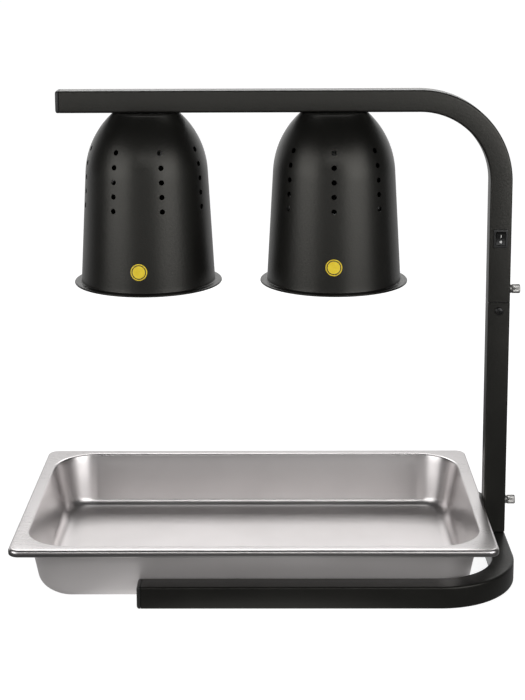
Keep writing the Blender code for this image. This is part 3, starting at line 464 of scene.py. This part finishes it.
def shadeOutside():
    # Radius and height down the outside, from the hole in the crown to the end of the rolled lip.
    look = shadeLook
    lean = atan2(look["footRadius"] - look["shoulderRadius"], look["shoulder"] - look["rim"])
    centre = (look["shoulderRadius"] - look["domeRadius"] * cos(lean),
              look["shoulder"] - look["domeRadius"] * sin(lean))
    ring, soft = look["domeRadius"], look["crownRound"]
    softHeight = look["top"] - soft
    softTurn = asin((softHeight - centre[1]) / (ring - soft))
    softCentre = (centre[0] + (ring - soft) * cos(softTurn), softHeight)
    crown = arcPoints(softCentre, soft, pi / 2, softTurn, look["crownSteps"])
    dome = arcPoints(centre, ring, softTurn, lean, look["domeSteps"])[1:]
    flange = look["rim"] + 2 * look["lipRadius"]
    fillet = look["footFillet"]
    bodyFoot = flange + fillet
    bodyRadius, bodyTop = dome[-1]
    steps = ceil((bodyTop - bodyFoot) / look["bodyStep"])
    body = []
    for step in range(1, steps + 1):
        share = step / steps
        radius = bodyRadius + (look["footRadius"] - bodyRadius) * share
        body.append((radius, bodyTop + (bodyFoot - bodyTop) * share))
    footCentre = (look["footRadius"] + fillet, bodyFoot)
    foot = arcPoints(footCentre, fillet, pi, 3 * pi / 2, look["filletSteps"])[1:]
    lipCentre = (look["rimRadius"] - look["lipRadius"], look["rim"] + look["lipRadius"])
    lip = arcPoints(lipCentre, look["lipRadius"], pi / 2, -pi / 2, look["lipSteps"])
    return [(look["crownHole"], look["top"]), *crown, *dome, *body, *foot, *lip]


def insetProfile(profile, depth):
    # The same line moved inwards by the sheet's thickness.
    moved = []
    for index, (radius, height) in enumerate(profile):
        before, after = profile[max(index - 1, 0)], profile[min(index + 1, len(profile) - 1)]
        along = Vector((after[0] - before[0], after[1] - before[1])).normalized()
        moved.append((radius + along.y * depth, height - along.x * depth))
    return moved


def makeShade(side):
    look = shadeLook
    outside = shadeOutside()
    inner = insetProfile(outside, look["sheet"])[:-look["lipSteps"] - 1]
    inner[0] = (look["crownHole"], look["top"] - look["sheet"])
    flangeUnder = look["rim"] + 2 * look["lipRadius"] - look["sheet"]
    inner.append((look["rimRadius"] - look["lipRadius"], flangeUnder))
    bm = bmesh.new()
    place = Matrix.Translation((look["centres"][side], 0, 0))
    turn(bm, outside + inner[::-1], look["segments"], place, loop=True)
    # the shell takes the darker copy of the coat, as painted shade
    shade = newPiece(side + "ShadeShell", bm, "lampShadeCoatPaintedShade", None)
    near, far, radius = look["ventFrom"], look["ventTo"], look["ventRadius"]
    vent = [(0, near), (radius, near), (radius, far), (0, far)]
    bm = bmesh.new()
    for column in range(look["ventColumns"]):
        angle = radians(look["turns"][side]) + 2 * pi * column / look["ventColumns"] - pi / 2
        if look["rearSines"][0] < sin(angle) < look["rearSines"][1]:
            angle += radians(look["rearTurn"][side])  # so that no daylight shows through from the front
        for row in range(look["ventRows"]):
            height = look["ventTop"] - row * look["ventStep"]
            matrix = turnZTo((cos(angle), sin(angle), 0), (look["centres"][side], 0, height))
            turn(bm, vent, look["ventSides"], matrix)
    cutWith(shade, [cutterFrom(bm)])
    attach(shade, "arm")
    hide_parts(side + "_shade")
    return shade


for lampSide in ("left", "right"):
    makeShade(lampSide)
print("shades with their vents")


# Round stickers on the shades

stickerLook = {
    "left": {"turn": -3.4, "height": 0.351}, "right": {"turn": -2.0, "height": 0.3557},
    "radius": 0.0092, "lift": 0.00026, "sides": 64, "ringShares": (0.25, 0.5, 0.66, 0.76, 0.88, 1),
    "darkRing": 3, "footShare": 1.005}


def onShade(side, across, up, lift):
    # A point on the shade's body near its sticker.
    look, place = shadeLook, stickerLook[side]
    height = place["height"] + up
    share = (look["shoulder"] - height) / (look["shoulder"] - look["rim"])
    reach = look["shoulderRadius"] + (look["footRadius"] - look["shoulderRadius"]) * share + lift
    angle = radians(place["turn"]) - pi / 2 + across / reach
    return Vector((look["centres"][side] + reach * cos(angle), reach * sin(angle), height))


def makeSticker(side):
    look = stickerLook
    sides = look["sides"]
    levels = [(share, look["lift"]) for share in look["ringShares"]] + [(look["footShare"], 0)]
    bm = bmesh.new()
    rows = []
    for share, lift in levels:
        reach = look["radius"] * share
        ring = []
        for index in range(sides):
            angle = 2 * pi * index / sides
            ring.append(bm.verts.new(onShade(side, reach * cos(angle), reach * sin(angle), lift)))
        rows.append(ring)
    middle = bm.verts.new(onShade(side, 0, 0, look["lift"]))
    for index in range(sides):
        bm.faces.new((middle, rows[0][index], rows[0][(index + 1) % sides]))
    for level, (first, second) in enumerate(zip(rows, rows[1:])):
        for index in range(sides):
            after = (index + 1) % sides
            face = bm.faces.new((first[index], first[after], second[after], second[index]))
            face.material_index = 1 if level == look["darkRing"] else 0
    bm.faces.new(rows[-1][::-1])
    sticker = newPiece(side + "Sticker", bm, "yellowVinyl", "arm", sharpAngle=50)
    sticker.data.materials.append(finishes["blackVinyl"])
    return sticker


for lampSide in ("left", "right"):
    makeSticker(lampSide)
print("stickers")


# Food pan

panLook = {
    "centreX": -0.0198, "length": 0.53, "width": 0.325, "depth": 0.065, "sheet": 0.0009,
    "rimWidth": 0.0128, "rimCorner": 0.012, "edgeRadius": 0.0034, "rimDrop": 0.0078, "curl": 0.0018,
    "mouthRadius": 0.0025, "mouthCorner": 0.052, "wallSlope": 0.202, "footRadius": 0.018,
    "sideFootRadius": 0.012, "curlSteps": 5, "edgeSteps": 8, "mouthSteps": 7, "wallSteps": 6,
    "footSteps": 14, "cornerSteps": 28, "sharpAngle": 40}


def panRing(inset, height, corner):
    look = panLook
    halfX, halfY = look["length"] / 2 - inset - corner, look["width"] / 2 - inset - corner
    ring = []
    for quarter, (sideX, sideY) in enumerate(boxCorners):
        start = pi / 2 * quarter
        ring += arcPoints((sideX * halfX, sideY * halfY), corner, start, start + pi / 2, look["cornerSteps"])
    return [(look["centreX"] + x, y, height) for x, y in ring]


def panWallRing(top, wallTurn, wallShare, footShare):
    # One ring down the wall or round the foot, whose bend is tighter along the two long sides.
    look = panLook
    widest = look["mouthCorner"] + look["rimWidth"]
    ring = []
    for quarter, (sideX, sideY) in enumerate(boxCorners):
        for step in range(look["cornerSteps"] + 1):
            angle = pi / 2 * (quarter + step / look["cornerSteps"])
            endways = abs(cos(angle))
            blend = endways ** 2 * (3 - 2 * endways)
            bend = look["sideFootRadius"] + (look["footRadius"] - look["sideFootRadius"]) * blend
            middle = look["sheet"] + bend
            centre = top[0] + (top[1] - middle) * tan(wallTurn) + bend / cos(wallTurn)
            turned = wallTurn + (pi / 2 - wallTurn) * footShare
            inset, height = centre - bend * cos(turned), middle - bend * sin(turned)
            inset = top[0] + (inset - top[0]) * wallShare
            height = top[1] + (height - top[1]) * wallShare
            reach = widest - inset
            ring.append((look["centreX"] + sideX * (look["length"] / 2 - widest) + reach * cos(angle),
                         sideY * (look["width"] / 2 - widest) + reach * sin(angle), height))
    return ring


def makePan():
    look = panLook
    wallTurn = atan2(look["wallSlope"], 1)
    curl, edge, mouthRadius = look["curl"], look["edgeRadius"], look["mouthRadius"]
    curlCentre = (curl, look["depth"] - look["rimDrop"] + curl)
    edgeCentre = (edge, look["depth"] - edge)
    mouthCentre = (look["rimWidth"], look["depth"] - mouthRadius)
    rim = arcPoints(curlCentre, curl, 3 * pi / 2, pi, look["curlSteps"])
    rim += arcPoints(edgeCentre, edge, pi, pi / 2, look["edgeSteps"])
    mouth = arcPoints(mouthCentre, mouthRadius, pi / 2, wallTurn, look["mouthSteps"])
    widest = look["mouthCorner"] + look["rimWidth"]
    rings = [panRing(inset, height, look["rimCorner"] - inset) for inset, height in rim]
    rings += [panRing(inset, height, widest - inset) for inset, height in mouth]
    for step in range(1, look["wallSteps"] + 1):
        rings.append(panWallRing(mouth[-1], wallTurn, step / look["wallSteps"], 0))
    for step in range(1, look["footSteps"] + 1):
        rings.append(panWallRing(mouth[-1], wallTurn, 1, step / look["footSteps"]))
    bm = bmesh.new()
    rows = loft(bm, rings)
    bm.faces.new(rows[-1])
    pan = objectFrom("foodPanShell", bm)
    smoothMesh(pan.data, look["sharpAngle"])
    pan.data.materials.append(finishes["satinStainless"])
    pan.data.materials.append(finishes["dullStainlessPaintedLight"])
    wallOf = pan.modifiers.new("sheet", "SOLIDIFY")
    wallOf.thickness = look["sheet"]
    wallOf.offset = -1
    wallOf.use_even_offset = True
    wallOf.material_offset = 1  # the outside is duller, and painted lighter than the inside as painted light
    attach(pan, "pan")
    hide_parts("food_pan")
    return pan


makePan()
print("food pan")


# Thumb screws with their collars, and the cross-recess screw

screwLook = {
    "heights": {"lower": 0.0609, "upper": 0.3143}, "bush": (0.0003, 0.0012, 0.0048),
    "washer": (0.0018, 0.0008, 0.0050), "soft": 0.0002, "segments": 48, "bushNeck": 0.0036,
    "bushDepth": 0.0015, "headStart": 0.0029, "headLength": 0.0096, "headRadius": 0.0052,
    "knurls": 36, "knurlDepth": 0.00025, "bandShare": 0.2, "shank": 0.0025, "chamfer": 0.0008,
    "dimpleShares": (2.2, 2.6), "dimpleDepth": 0.0005}


def makeThumbScrew(level, body, washerBody, collarBody):
    look = screwLook
    face = tubeLook["postX"] + tubeLook["half"]
    matrix = turnZTo((1, 0, 0), (face, 0, look["heights"][level]))
    bore, soft, depth = look["shank"] + seatGap, look["soft"], look["bushDepth"]
    for name, (start, thick, radius), owner, node in (
            ("Collar", look["bush"], collarBody, "_thumb_bush"),
            ("Washer", look["washer"], washerBody, "_thumb_washer")):
        end = start + thick
        profile = [(bore, end), (radius - soft, end), (radius, end - soft), (radius, start + soft),
                   (radius - soft, start)]
        if name == "Collar":
            profile += [(look["bushNeck"], start), (look["bushNeck"], -depth), (bore, -depth)]
        else:
            profile.append((bore, start))
        bm = bmesh.new()
        turn(bm, profile, look["segments"], matrix, loop=True)
        newPiece(level + name, bm, "brightNickel", owner, [level + node])
    start, end = look["headStart"], look["headStart"] + look["headLength"]
    radius, chamfer = look["headRadius"], look["chamfer"]
    rimShare, floorShare = look["dimpleShares"]
    band = start + look["bandShare"] * look["headLength"]
    stations = [(-depth, look["shank"], 0), (start, look["shank"], 0), (start, radius - chamfer, 0),
                (start + chamfer, radius, 1), (band, radius, 1), (end - chamfer, radius, 1),
                (end, radius - chamfer, 0), (end, radius - rimShare * chamfer, 0),
                (end - look["dimpleDepth"], radius - floorShare * chamfer, 0)]
    wave = (0, 0.5, 1, 0.5)  # how deep one knurl is at each of its points
    count = len(wave) * look["knurls"]
    rings = []
    for height, reach, knurled in stations:
        ring = []
        for index in range(count):
            angle = 2 * pi * index / count
            radial = reach - wave[index % len(wave)] * look["knurlDepth"] * knurled
            ring.append(matrix @ Vector((radial * cos(angle), radial * sin(angle), height)))
        rings.append(ring)
    bm = bmesh.new()
    loft(bm, rings, True, True)
    return newPiece(level + "Thumb", bm, "brightNickel", body, [level + "_thumb_screw"], sharpAngle=40)


makeThumbScrew("lower", "lower_screw", "lower_washer", "post")
makeThumbScrew("upper", "upper_screw", "upper_washer", "arm")

panHeadLook = {
    "height": 0.2912, "radius": 0.0047, "rise": 0.0028, "side": 0.0009, "domeSteps": 10, "segments": 64,
    "shank": 0.0025, "length": 0.009, "recessWide": 0.0012, "recessSpan": 0.0052, "recessDepth": 0.0016,
    "recessTurns": (20, 110), "recessShares": (0.55, 1.15), "overrun": 0.001}


def makePanHeadScrew():
    look = panHeadLook
    rise, side, wide = look["rise"], look["side"], look["recessWide"] / 2
    matrix = turnZTo((0, -1, 0), (tubeLook["postX"], -tubeLook["half"] - seatGap, look["height"]))
    profile = [(0, rise)]
    for across, up in arcPoints((0, 0), 1, pi / 2, 0, look["domeSteps"])[1:]:
        profile.append((look["radius"] * across, side + (rise - side) * up))
    profile += [(look["radius"], 0), (look["shank"], 0)]
    profile += [(look["shank"], -look["length"]), (0, -look["length"])]
    bm = bmesh.new()
    turn(bm, profile, look["segments"], matrix)
    screw = newPiece("panHeadScrew", bm, "blackOxide", None)
    cutters = []
    for angle in look["recessTurns"]:
        spin = matrix @ Matrix.Rotation(radians(angle), 4, "Z")
        rings = []
        for height, share in zip((rise - look["recessDepth"], rise + look["overrun"]), look["recessShares"]):
            reach = look["recessSpan"] / 2 * share
            corners = ((-reach, -wide), (reach, -wide), (reach, wide), (-reach, wide))
            rings.append([spin @ Vector((x, y, height)) for x, y in corners])
        bm = bmesh.new()
        loft(bm, rings, True, True)
        cutters.append(cutterFrom(bm))
    cutWith(screw, cutters)
    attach(screw, "post")
    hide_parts("post_screw")
    return screw


makePanHeadScrew()
print("screws")


# Rocker switch

switchLook = {
    "height": 0.3754, "bezelHalf": (0.0079, 0.0107), "bezelThick": 0.0018, "bezelCorner": 0.0012,
    "bezelEdge": 0.0007, "bezelSteps": 5, "wellHalf": (0.0055, 0.0076), "wellDepth": 0.0075,
    "wellCorner": 0.0004, "wellEdge": 0.0003, "bodyHalf": (0.0064, 0.0093), "bodyDepth": 0.0132,
    "bodyCorner": 0.0006, "cornerSteps": 6}

rockerLook = {
    "half": 0.0051, "swing": 0.0072, "faceOffset": 0.0012, "tilt": 11, "pivotY": -0.0131,
    "backTurn": 120, "backSteps": 8, "dish": 0.00025, "dishSteps": 8, "soft": 0.0003, "middle": 0.001,
    "markShare": 0.52, "markSeat": 0.9, "markRise": 0.00012, "markDepth": 0.0002,
    "barHalf": (0.00042, 0.0018), "barCorner": 0.0002, "barSteps": 3, "ringRadii": (0.0007, 0.0014),
    "ringSegments": 40}


def makeSwitchHousing():
    look = switchLook
    edge, thick, corner = look["wellEdge"], look["bezelThick"], look["bodyCorner"]
    wellX, wellZ = look["wellHalf"]
    rings = [(look["wellDepth"], wellX, wellZ, look["wellCorner"]), (edge, wellX, wellZ, look["wellCorner"]),
             (0, wellX + edge, wellZ + edge, corner)]
    halfX, halfZ = look["bezelHalf"]
    bezelCentre = (look["bezelEdge"], look["bezelEdge"])
    bezel = arcPoints(bezelCentre, look["bezelEdge"], 3 * pi / 2, pi, look["bezelSteps"])
    rings += [(depth, halfX - inset, halfZ - inset, look["bezelCorner"]) for inset, depth in bezel]
    rings.append((thick, halfX, halfZ, look["bezelCorner"]))
    bodyX, bodyZ = look["bodyHalf"]
    rings += [(thick, bodyX, bodyZ, corner), (thick + look["bodyDepth"], bodyX, bodyZ, corner)]
    front = -tubeLook["half"] - seatGap - thick
    loops = []
    for depth, reachX, reachZ, radius in rings:
        outline = roundedBox(reachX, reachZ, radius, look["cornerSteps"])
        loops.append([(tubeLook["postX"] + x, front + depth, look["height"] + z) for x, z in outline])
    bm = bmesh.new()
    loft(bm, loops, True, True)
    return newPiece("switchBezel", bm, "blackPlastic", "arm", ["switch_housing"])


def makeRocker():
    # The rocker in its rest pose, upper half out, with white marks for on and off.
    look = rockerLook
    tilt = radians(look["tilt"])
    pivot = Matrix.Translation((tubeLook["postX"], look["pivotY"], switchLook["height"]))
    matrix = pivot @ Matrix.Rotation(tilt, 4, "X")
    tipTurn = pi / 2 - tilt - asin(look["faceOffset"] / look["swing"])
    tipOut, tipUp = look["swing"] * cos(tipTurn), look["swing"] * sin(tipTurn)
    apexOut = look["faceOffset"] / cos(tilt)
    face = []
    for step in range(1, look["dishSteps"]):
        share = step / look["dishSteps"]
        face.append((apexOut + (tipOut - apexOut) * share - look["dish"] * sin(pi * share), tipUp * share))
    back = arcPoints((0, 0), look["swing"], tipTurn, radians(look["backTurn"]), look["backSteps"])
    upper = [*face, *back]
    outline = [(apexOut, 0), *upper, *[(out, -up) for out, up in reversed(upper)]]
    half, soft, middle = look["half"], look["soft"], Vector((look["middle"], 0))
    rings = []
    for x, shrink in ((-half, soft), (-half + soft, 0), (half - soft, 0), (half, soft)):
        ring = []
        for place in outline:
            point = Vector(place)
            point -= (point - middle).normalized() * shrink
            ring.append(matrix @ Vector((x, -point.x, point.y)))
        rings.append(ring)
    bm = bmesh.new()
    loft(bm, rings, True, True)
    rocker = newPiece("rockerKey", bm, "blackPlastic", "rocker", ["switch_rocker"], sharpAngle=38)
    faceTurn = atan2(tipOut - apexOut, tipUp)
    out = apexOut + (tipOut - apexOut) * look["markShare"] - look["dish"] * look["markSeat"]
    rise, depth = look["markRise"], look["markDepth"]
    for name, sign in (("On", 1), ("Off", -1)):
        seat = matrix @ Matrix.Translation((0, -out, sign * look["markShare"] * tipUp))
        seat = seat @ Matrix.Rotation(sign * faceTurn, 4, "X")
        bm = bmesh.new()
        if name == "On":
            bar = roundedBox(*look["barHalf"], look["barCorner"], look["barSteps"])
            loft(bm, [[seat @ Vector((x, y, z)) for x, z in bar] for y in (depth, -rise)], True, True)
        else:
            inner, outer = look["ringRadii"]
            profile = [(inner, -depth), (inner, rise), (outer, rise), (outer, -depth)]
            turn(bm, profile, look["ringSegments"], seat @ Matrix.Rotation(pi / 2, 4, "X"), loop=True)
        newPiece("rockerMark" + name, bm, "whiteInk", "rocker")
    return rocker


makeSwitchHousing()
makeRocker()
print("switch")


# Cord gland in the back of the upright

glandLook = {
    "height": 0.40698, "flange": 0.0075, "flangeThick": 0.0025, "flangeEdge": 0.001, "edgeSteps": 5,
    "nose": 0.005, "noseLength": 0.006, "noseEdge": 0.0006, "barrel": 0.0058, "barrelLength": 0.004,
    "bore": 0.0034, "ribs": 4, "ribShare": 0.5, "ribDepth": 0.0007, "ribFlank": 0.0001,
    "ribFoot": 0.0005, "segments": 64}


def makeGland():
    look = glandLook
    matrix = turnZTo((0, 1, 0), (tubeLook["postX"], tubeLook["half"] + seatGap, look["height"]))
    thick, soft, nose = look["flangeThick"], look["flangeEdge"], look["nose"]
    groove = nose - look["ribDepth"]
    end = thick + look["noseLength"]
    profile = [(look["bore"], -look["barrelLength"]), (look["bore"], end), (nose - look["noseEdge"], end)]
    pitch = look["noseLength"] / look["ribs"]
    for rib in range(look["ribs"]):
        high = end - look["noseEdge"] - rib * pitch
        low = high - pitch * look["ribShare"]
        profile += [(nose, high), (nose, low)]
        profile += [(groove, low - look["ribFlank"]), (groove, low - look["ribFoot"])]
    profile[-1] = (groove, thick)
    profile += arcPoints((look["flange"] - soft, thick - soft), soft, pi / 2, 0, look["edgeSteps"])
    profile += [(look["flange"], 0), (look["barrel"], 0), (look["barrel"], -look["barrelLength"])]
    bm = bmesh.new()
    turn(bm, profile, look["segments"], matrix, loop=True)
    return newPiece("cordGlandNose", bm, "blackPlastic", "arm", ["cord_gland"])


makeGland()
print("cord gland")


# Bulbs

bulbLook = {
    "capTop": 0.4947, "neck": 0.0123, "neckTop": -0.0053, "neckFoot": -0.0276, "radius": 0.0635,
    "face": -0.1621, "widest": -0.1307, "edge": 0.016, "edgeTurn": 68, "sag": 0.007, "glass": 0.0012,
    "power": 0.75, "flareSteps": 24, "edgeSteps": 10, "faceSteps": 8, "segments": 96}


def makeBulb(side):
    look = bulbLook
    neck, foot = look["neck"], look["neckFoot"]
    profile = [(neck, look["neckTop"]), (neck, foot)]
    for step in range(1, look["flareSteps"] + 1):
        angle = pi / 2 * step / look["flareSteps"]
        drop = (1 - cos(angle)) ** look["power"]
        profile.append((neck + (look["radius"] - neck) * sin(angle), foot + (look["widest"] - foot) * drop))
    centre = (look["radius"] - look["edge"], look["face"] + look["sag"] + look["edge"])
    profile += arcPoints(centre, look["edge"], 0, -radians(look["edgeTurn"]), look["edgeSteps"])
    lastRadius, lastHeight = profile[-1]
    for step in range(1, look["faceSteps"] + 1):
        share = 1 - step / look["faceSteps"]
        profile.append((lastRadius * share, look["face"] + (lastHeight - look["face"]) * share * share))
    bm = bmesh.new()
    turn(bm, profile, look["segments"], Matrix.Translation((shadeLook["centres"][side], 0, look["capTop"])))
    bulb = newPiece(side + "BulbGlass", bm, "frostedGlass", None)
    # the flare above the widest ring takes the silvered finish, painted dark as painted shade
    bulb.data.materials.append(finishes["silveredGlassPaintedShade"])
    for face in bulb.data.polygons:
        if face.center.z > look["capTop"] + look["widest"]:
            face.material_index = 1
    wallOf = bulb.modifiers.new("glass", "SOLIDIFY")
    wallOf.thickness = look["glass"]
    wallOf.offset = -1
    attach(bulb, side + "_bulb")
    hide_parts(side + "_bulb_glass")
    return bulb


for lampSide in ("left", "right"):
    makeBulb(lampSide)
print("bulbs")


# Finishes of the CAD nodes that stay

slotFinish = {}
for name, look in finishLooks.items():
    if "slot" in look:
        slotFinish.setdefault(look["slot"], name)  # a slot's first finish is its CAD nodes' own
recordSlots = {part["node"]: part["material_slot"] for part in frame["record"]["subparts"]}
for nodeName, cadNode in cadNodes.items():
    finish = finishes[slotFinish[recordSlots[nodeName]]]
    for materialSlot in cadNode.material_slots:
        materialSlot.material = finish
print("CAD nodes finished:", len(cadNodes))


# Stage: floor, world, lamps and camera

stageLook = {
    "floorHalf": 4, "floorLevel": -0.0004, "farFrom": 0.6, "farFull": 2.0, "colour": (0.42, 0.25),
    "cameraGlow": (0.88, 1.0),
    "glossyGlow": ((0.17, 0.95), (0.192, 0.50), (0.206, 0.24), (0.30, 0), (0.90, 0.06), (2.0, 0.30)),
    "glossyDim": 0.88, "glossyStretch": (0.68, 1, 1), "glossyBack": (0.25, 1.0, 0.3),
    "backLevel": 0.68, "backFrom": 0.35, "backFull": 0.85, "backHigh": (0.88, 1.0),
    "horizonExtra": 0.32, "horizonFade": (0.10, 0.30),
    "frontLevel": 1.3, "frontFrom": 0.10, "frontFull": 0.70, "frontHigh": (-0.10, 0.20),
    "darkLevel": 0.03}


def makeFloor():
    look = stageLook
    half = look["floorHalf"]
    bm = bmesh.new()
    corners = ((-half, -half), (half, -half), (half, half), (-half, half))
    bm.faces.new([bm.verts.new((x, y, look["floorLevel"])) for x, y in corners])
    floor = objectFrom("studioFloor", bm)
    material = bpy.data.materials.new("floorPaper")
    floor.data.materials.append(material)
    material.use_nodes = True
    tree = material.node_tree
    tree.nodes.clear()
    rays = addNode(tree, "ShaderNodeLightPath").outputs
    place = addNode(tree, "ShaderNodeTexCoord").outputs["Object"]

    def lengthOf(vector):
        return addNode(tree, "ShaderNodeVectorMath", {0: vector}, operation="LENGTH").outputs["Value"]

    stretch = addNode(tree, "ShaderNodeVectorMath", {0: place, 1: look["glossyStretch"]},
                      operation="MULTIPLY")
    reach, glossyReach = lengthOf(place), lengthOf(stretch.outputs[0])
    colour, cameraGlow = (addRange(tree, reach, look["farFrom"], look["farFull"], *look[key])
                          for key in ("colour", "cameraGlow"))
    share = addMath(tree, "MULTIPLY", glossyReach, 1 / half)
    glossyGlow = addNode(tree, "ShaderNodeValToRGB", {"Fac": share})
    stops = glossyGlow.color_ramp.elements
    stops.remove(stops[1])
    for index, (distance, level) in enumerate(look["glossyGlow"]):
        stop = stops[0] if index == 0 else stops.new(distance / half)
        stop.position, stop.color = distance / half, (level, level, level, 1)
    depth = addNode(tree, "ShaderNodeSeparateXYZ", {"Vector": place}).outputs["Y"]
    start, full, most = look["glossyBack"]
    behind = addRange(tree, depth, start, full, 0, most)
    glossyLevel = addMath(tree, "ADD", glossyGlow.outputs["Color"], behind)
    shiny = addMath(tree, "MAXIMUM", rays["Is Glossy Ray"], rays["Is Transmission Ray"])
    toCamera = addMath(tree, "MULTIPLY", rays["Is Camera Ray"], cameraGlow)
    strength = addMath(tree, "MULTIPLY_ADD", shiny, glossyLevel, toCamera)
    dim = addMath(tree, "MULTIPLY_ADD", shiny, -look["glossyDim"], 1)
    paper = addNode(tree, "ShaderNodeBsdfDiffuse", {"Color": addMath(tree, "MULTIPLY", colour, dim)})
    glow = addNode(tree, "ShaderNodeEmission", {"Color": (1, 1, 1, 1), "Strength": strength})
    both = addNode(tree, "ShaderNodeAddShader", {0: paper.outputs[0], 1: glow.outputs[0]})
    addNode(tree, "ShaderNodeOutputMaterial", {"Surface": both.outputs[0]})


def makeWorld():
    # White to the camera; to all else bright behind, grey low in front and dark overhead.
    look = stageLook
    world = bpy.data.worlds.new("studio")
    bpy.context.scene.world = world
    world.use_nodes = True
    tree = world.node_tree
    tree.nodes.clear()
    place = addNode(tree, "ShaderNodeTexCoord").outputs["Generated"]
    axes = addNode(tree, "ShaderNodeSeparateXYZ", {"Vector": place}).outputs

    def region(start, end, low, high, highSpan):
        # A level that changes along Y and fades out upwards.
        level = addRange(tree, axes["Y"], start, end, low, high, interpolation_type="SMOOTHSTEP")
        fade = addRange(tree, axes["Z"], *highSpan, 1, 0, interpolation_type="SMOOTHSTEP")
        return addMath(tree, "MULTIPLY", level, fade)

    back = region(look["backFrom"], look["backFull"], 0, look["backLevel"], look["backHigh"])
    horizon = region(look["backFrom"], look["backFull"], 0, look["horizonExtra"], look["horizonFade"])
    front = region(-look["frontFull"], -look["frontFrom"], look["frontLevel"], 0, look["frontHigh"])
    room = addMath(tree, "ADD", addMath(tree, "ADD", back, horizon), front)
    room = addMath(tree, "ADD", room, look["darkLevel"])
    cameraRay = addNode(tree, "ShaderNodeLightPath").outputs["Is Camera Ray"]
    level = addMath(tree, "MAXIMUM", room, cameraRay)
    light = addNode(tree, "ShaderNodeBackground", {"Color": (1, 1, 1, 1), "Strength": level})
    addNode(tree, "ShaderNodeOutputWorld", {"Surface": light.outputs[0]})


softBoxes = {
    "leftSoftBox": {"turn": -52, "distance": 1.9, "height": 0.78, "size": (1.45, 1.3), "power": 15},
    "rightSoftBox": {"turn": 41, "distance": 1.9, "height": 0.78, "size": (1.45, 1.3), "power": 17.5},
    "frontSoftBox": {"turn": 0, "distance": 1.9, "height": 1.32, "size": (1.4, 0.26), "power": 4.8},
    "rearSoftBox": {"turn": 180, "distance": 1.3, "height": 1.35, "size": (1.6, 0.6), "power": 12},
    "topSoftBox": {"turn": 180, "distance": 0.4, "height": 1.7, "size": (1.2, 0.35), "power": 1.5}}
lampAim = (0, 0, 0.3)


def makeLamps():
    for name, look in softBoxes.items():
        data = bpy.data.lights.new(name, "AREA")
        data.shape = "RECTANGLE"
        data.size, data.size_y = look["size"]
        data.energy = look["power"]
        lamp = bpy.data.objects.new(name, data)
        angle = radians(look["turn"])
        lamp.location = (look["distance"] * sin(angle), -look["distance"] * cos(angle), look["height"])
        towards = Vector(lampAim) - lamp.location
        lamp.rotation_euler = towards.to_track_quat("-Z", "Y").to_euler()
        lamp.visible_camera = False
        bpy.context.scene.collection.objects.link(lamp)


cameraLook = {"place": (0.00563, -1.72104, 0.72122), "yaw": -0.506, "pitch": 9.836, "roll": -0.249,
              "focalPixels": 1538.29, "imageHeight": 700, "sensor": 36, "shift": -0.22, "clip": (0.05, 30)}


def makeCamera():
    look = cameraLook
    yaw, pitch, roll = (radians(look[key]) for key in ("yaw", "pitch", "roll"))
    ahead = Vector((sin(yaw) * cos(pitch), cos(yaw) * cos(pitch), -sin(pitch)))
    level = Vector((cos(yaw), -sin(yaw), 0))
    upright = level.cross(ahead)
    right = level * cos(roll) + upright * sin(roll)
    up = upright * cos(roll) - level * sin(roll)
    data = bpy.data.cameras.new("camera")
    data.sensor_width = look["sensor"]
    data.lens = look["focalPixels"] * look["sensor"] / look["imageHeight"]
    data.shift_y = look["shift"]
    data.clip_start, data.clip_end = look["clip"]
    camera = bpy.data.objects.new("camera", data)
    turned = Matrix((right, up, -ahead)).transposed()
    camera.matrix_world = Matrix.Translation(look["place"]) @ turned.to_4x4()
    bpy.context.scene.collection.objects.link(camera)
    bpy.context.scene.camera = camera


makeFloor()
makeWorld()
makeLamps()
makeCamera()
bpy.context.scene.view_settings.view_transform = "Standard"
print("stage, lamps and camera")
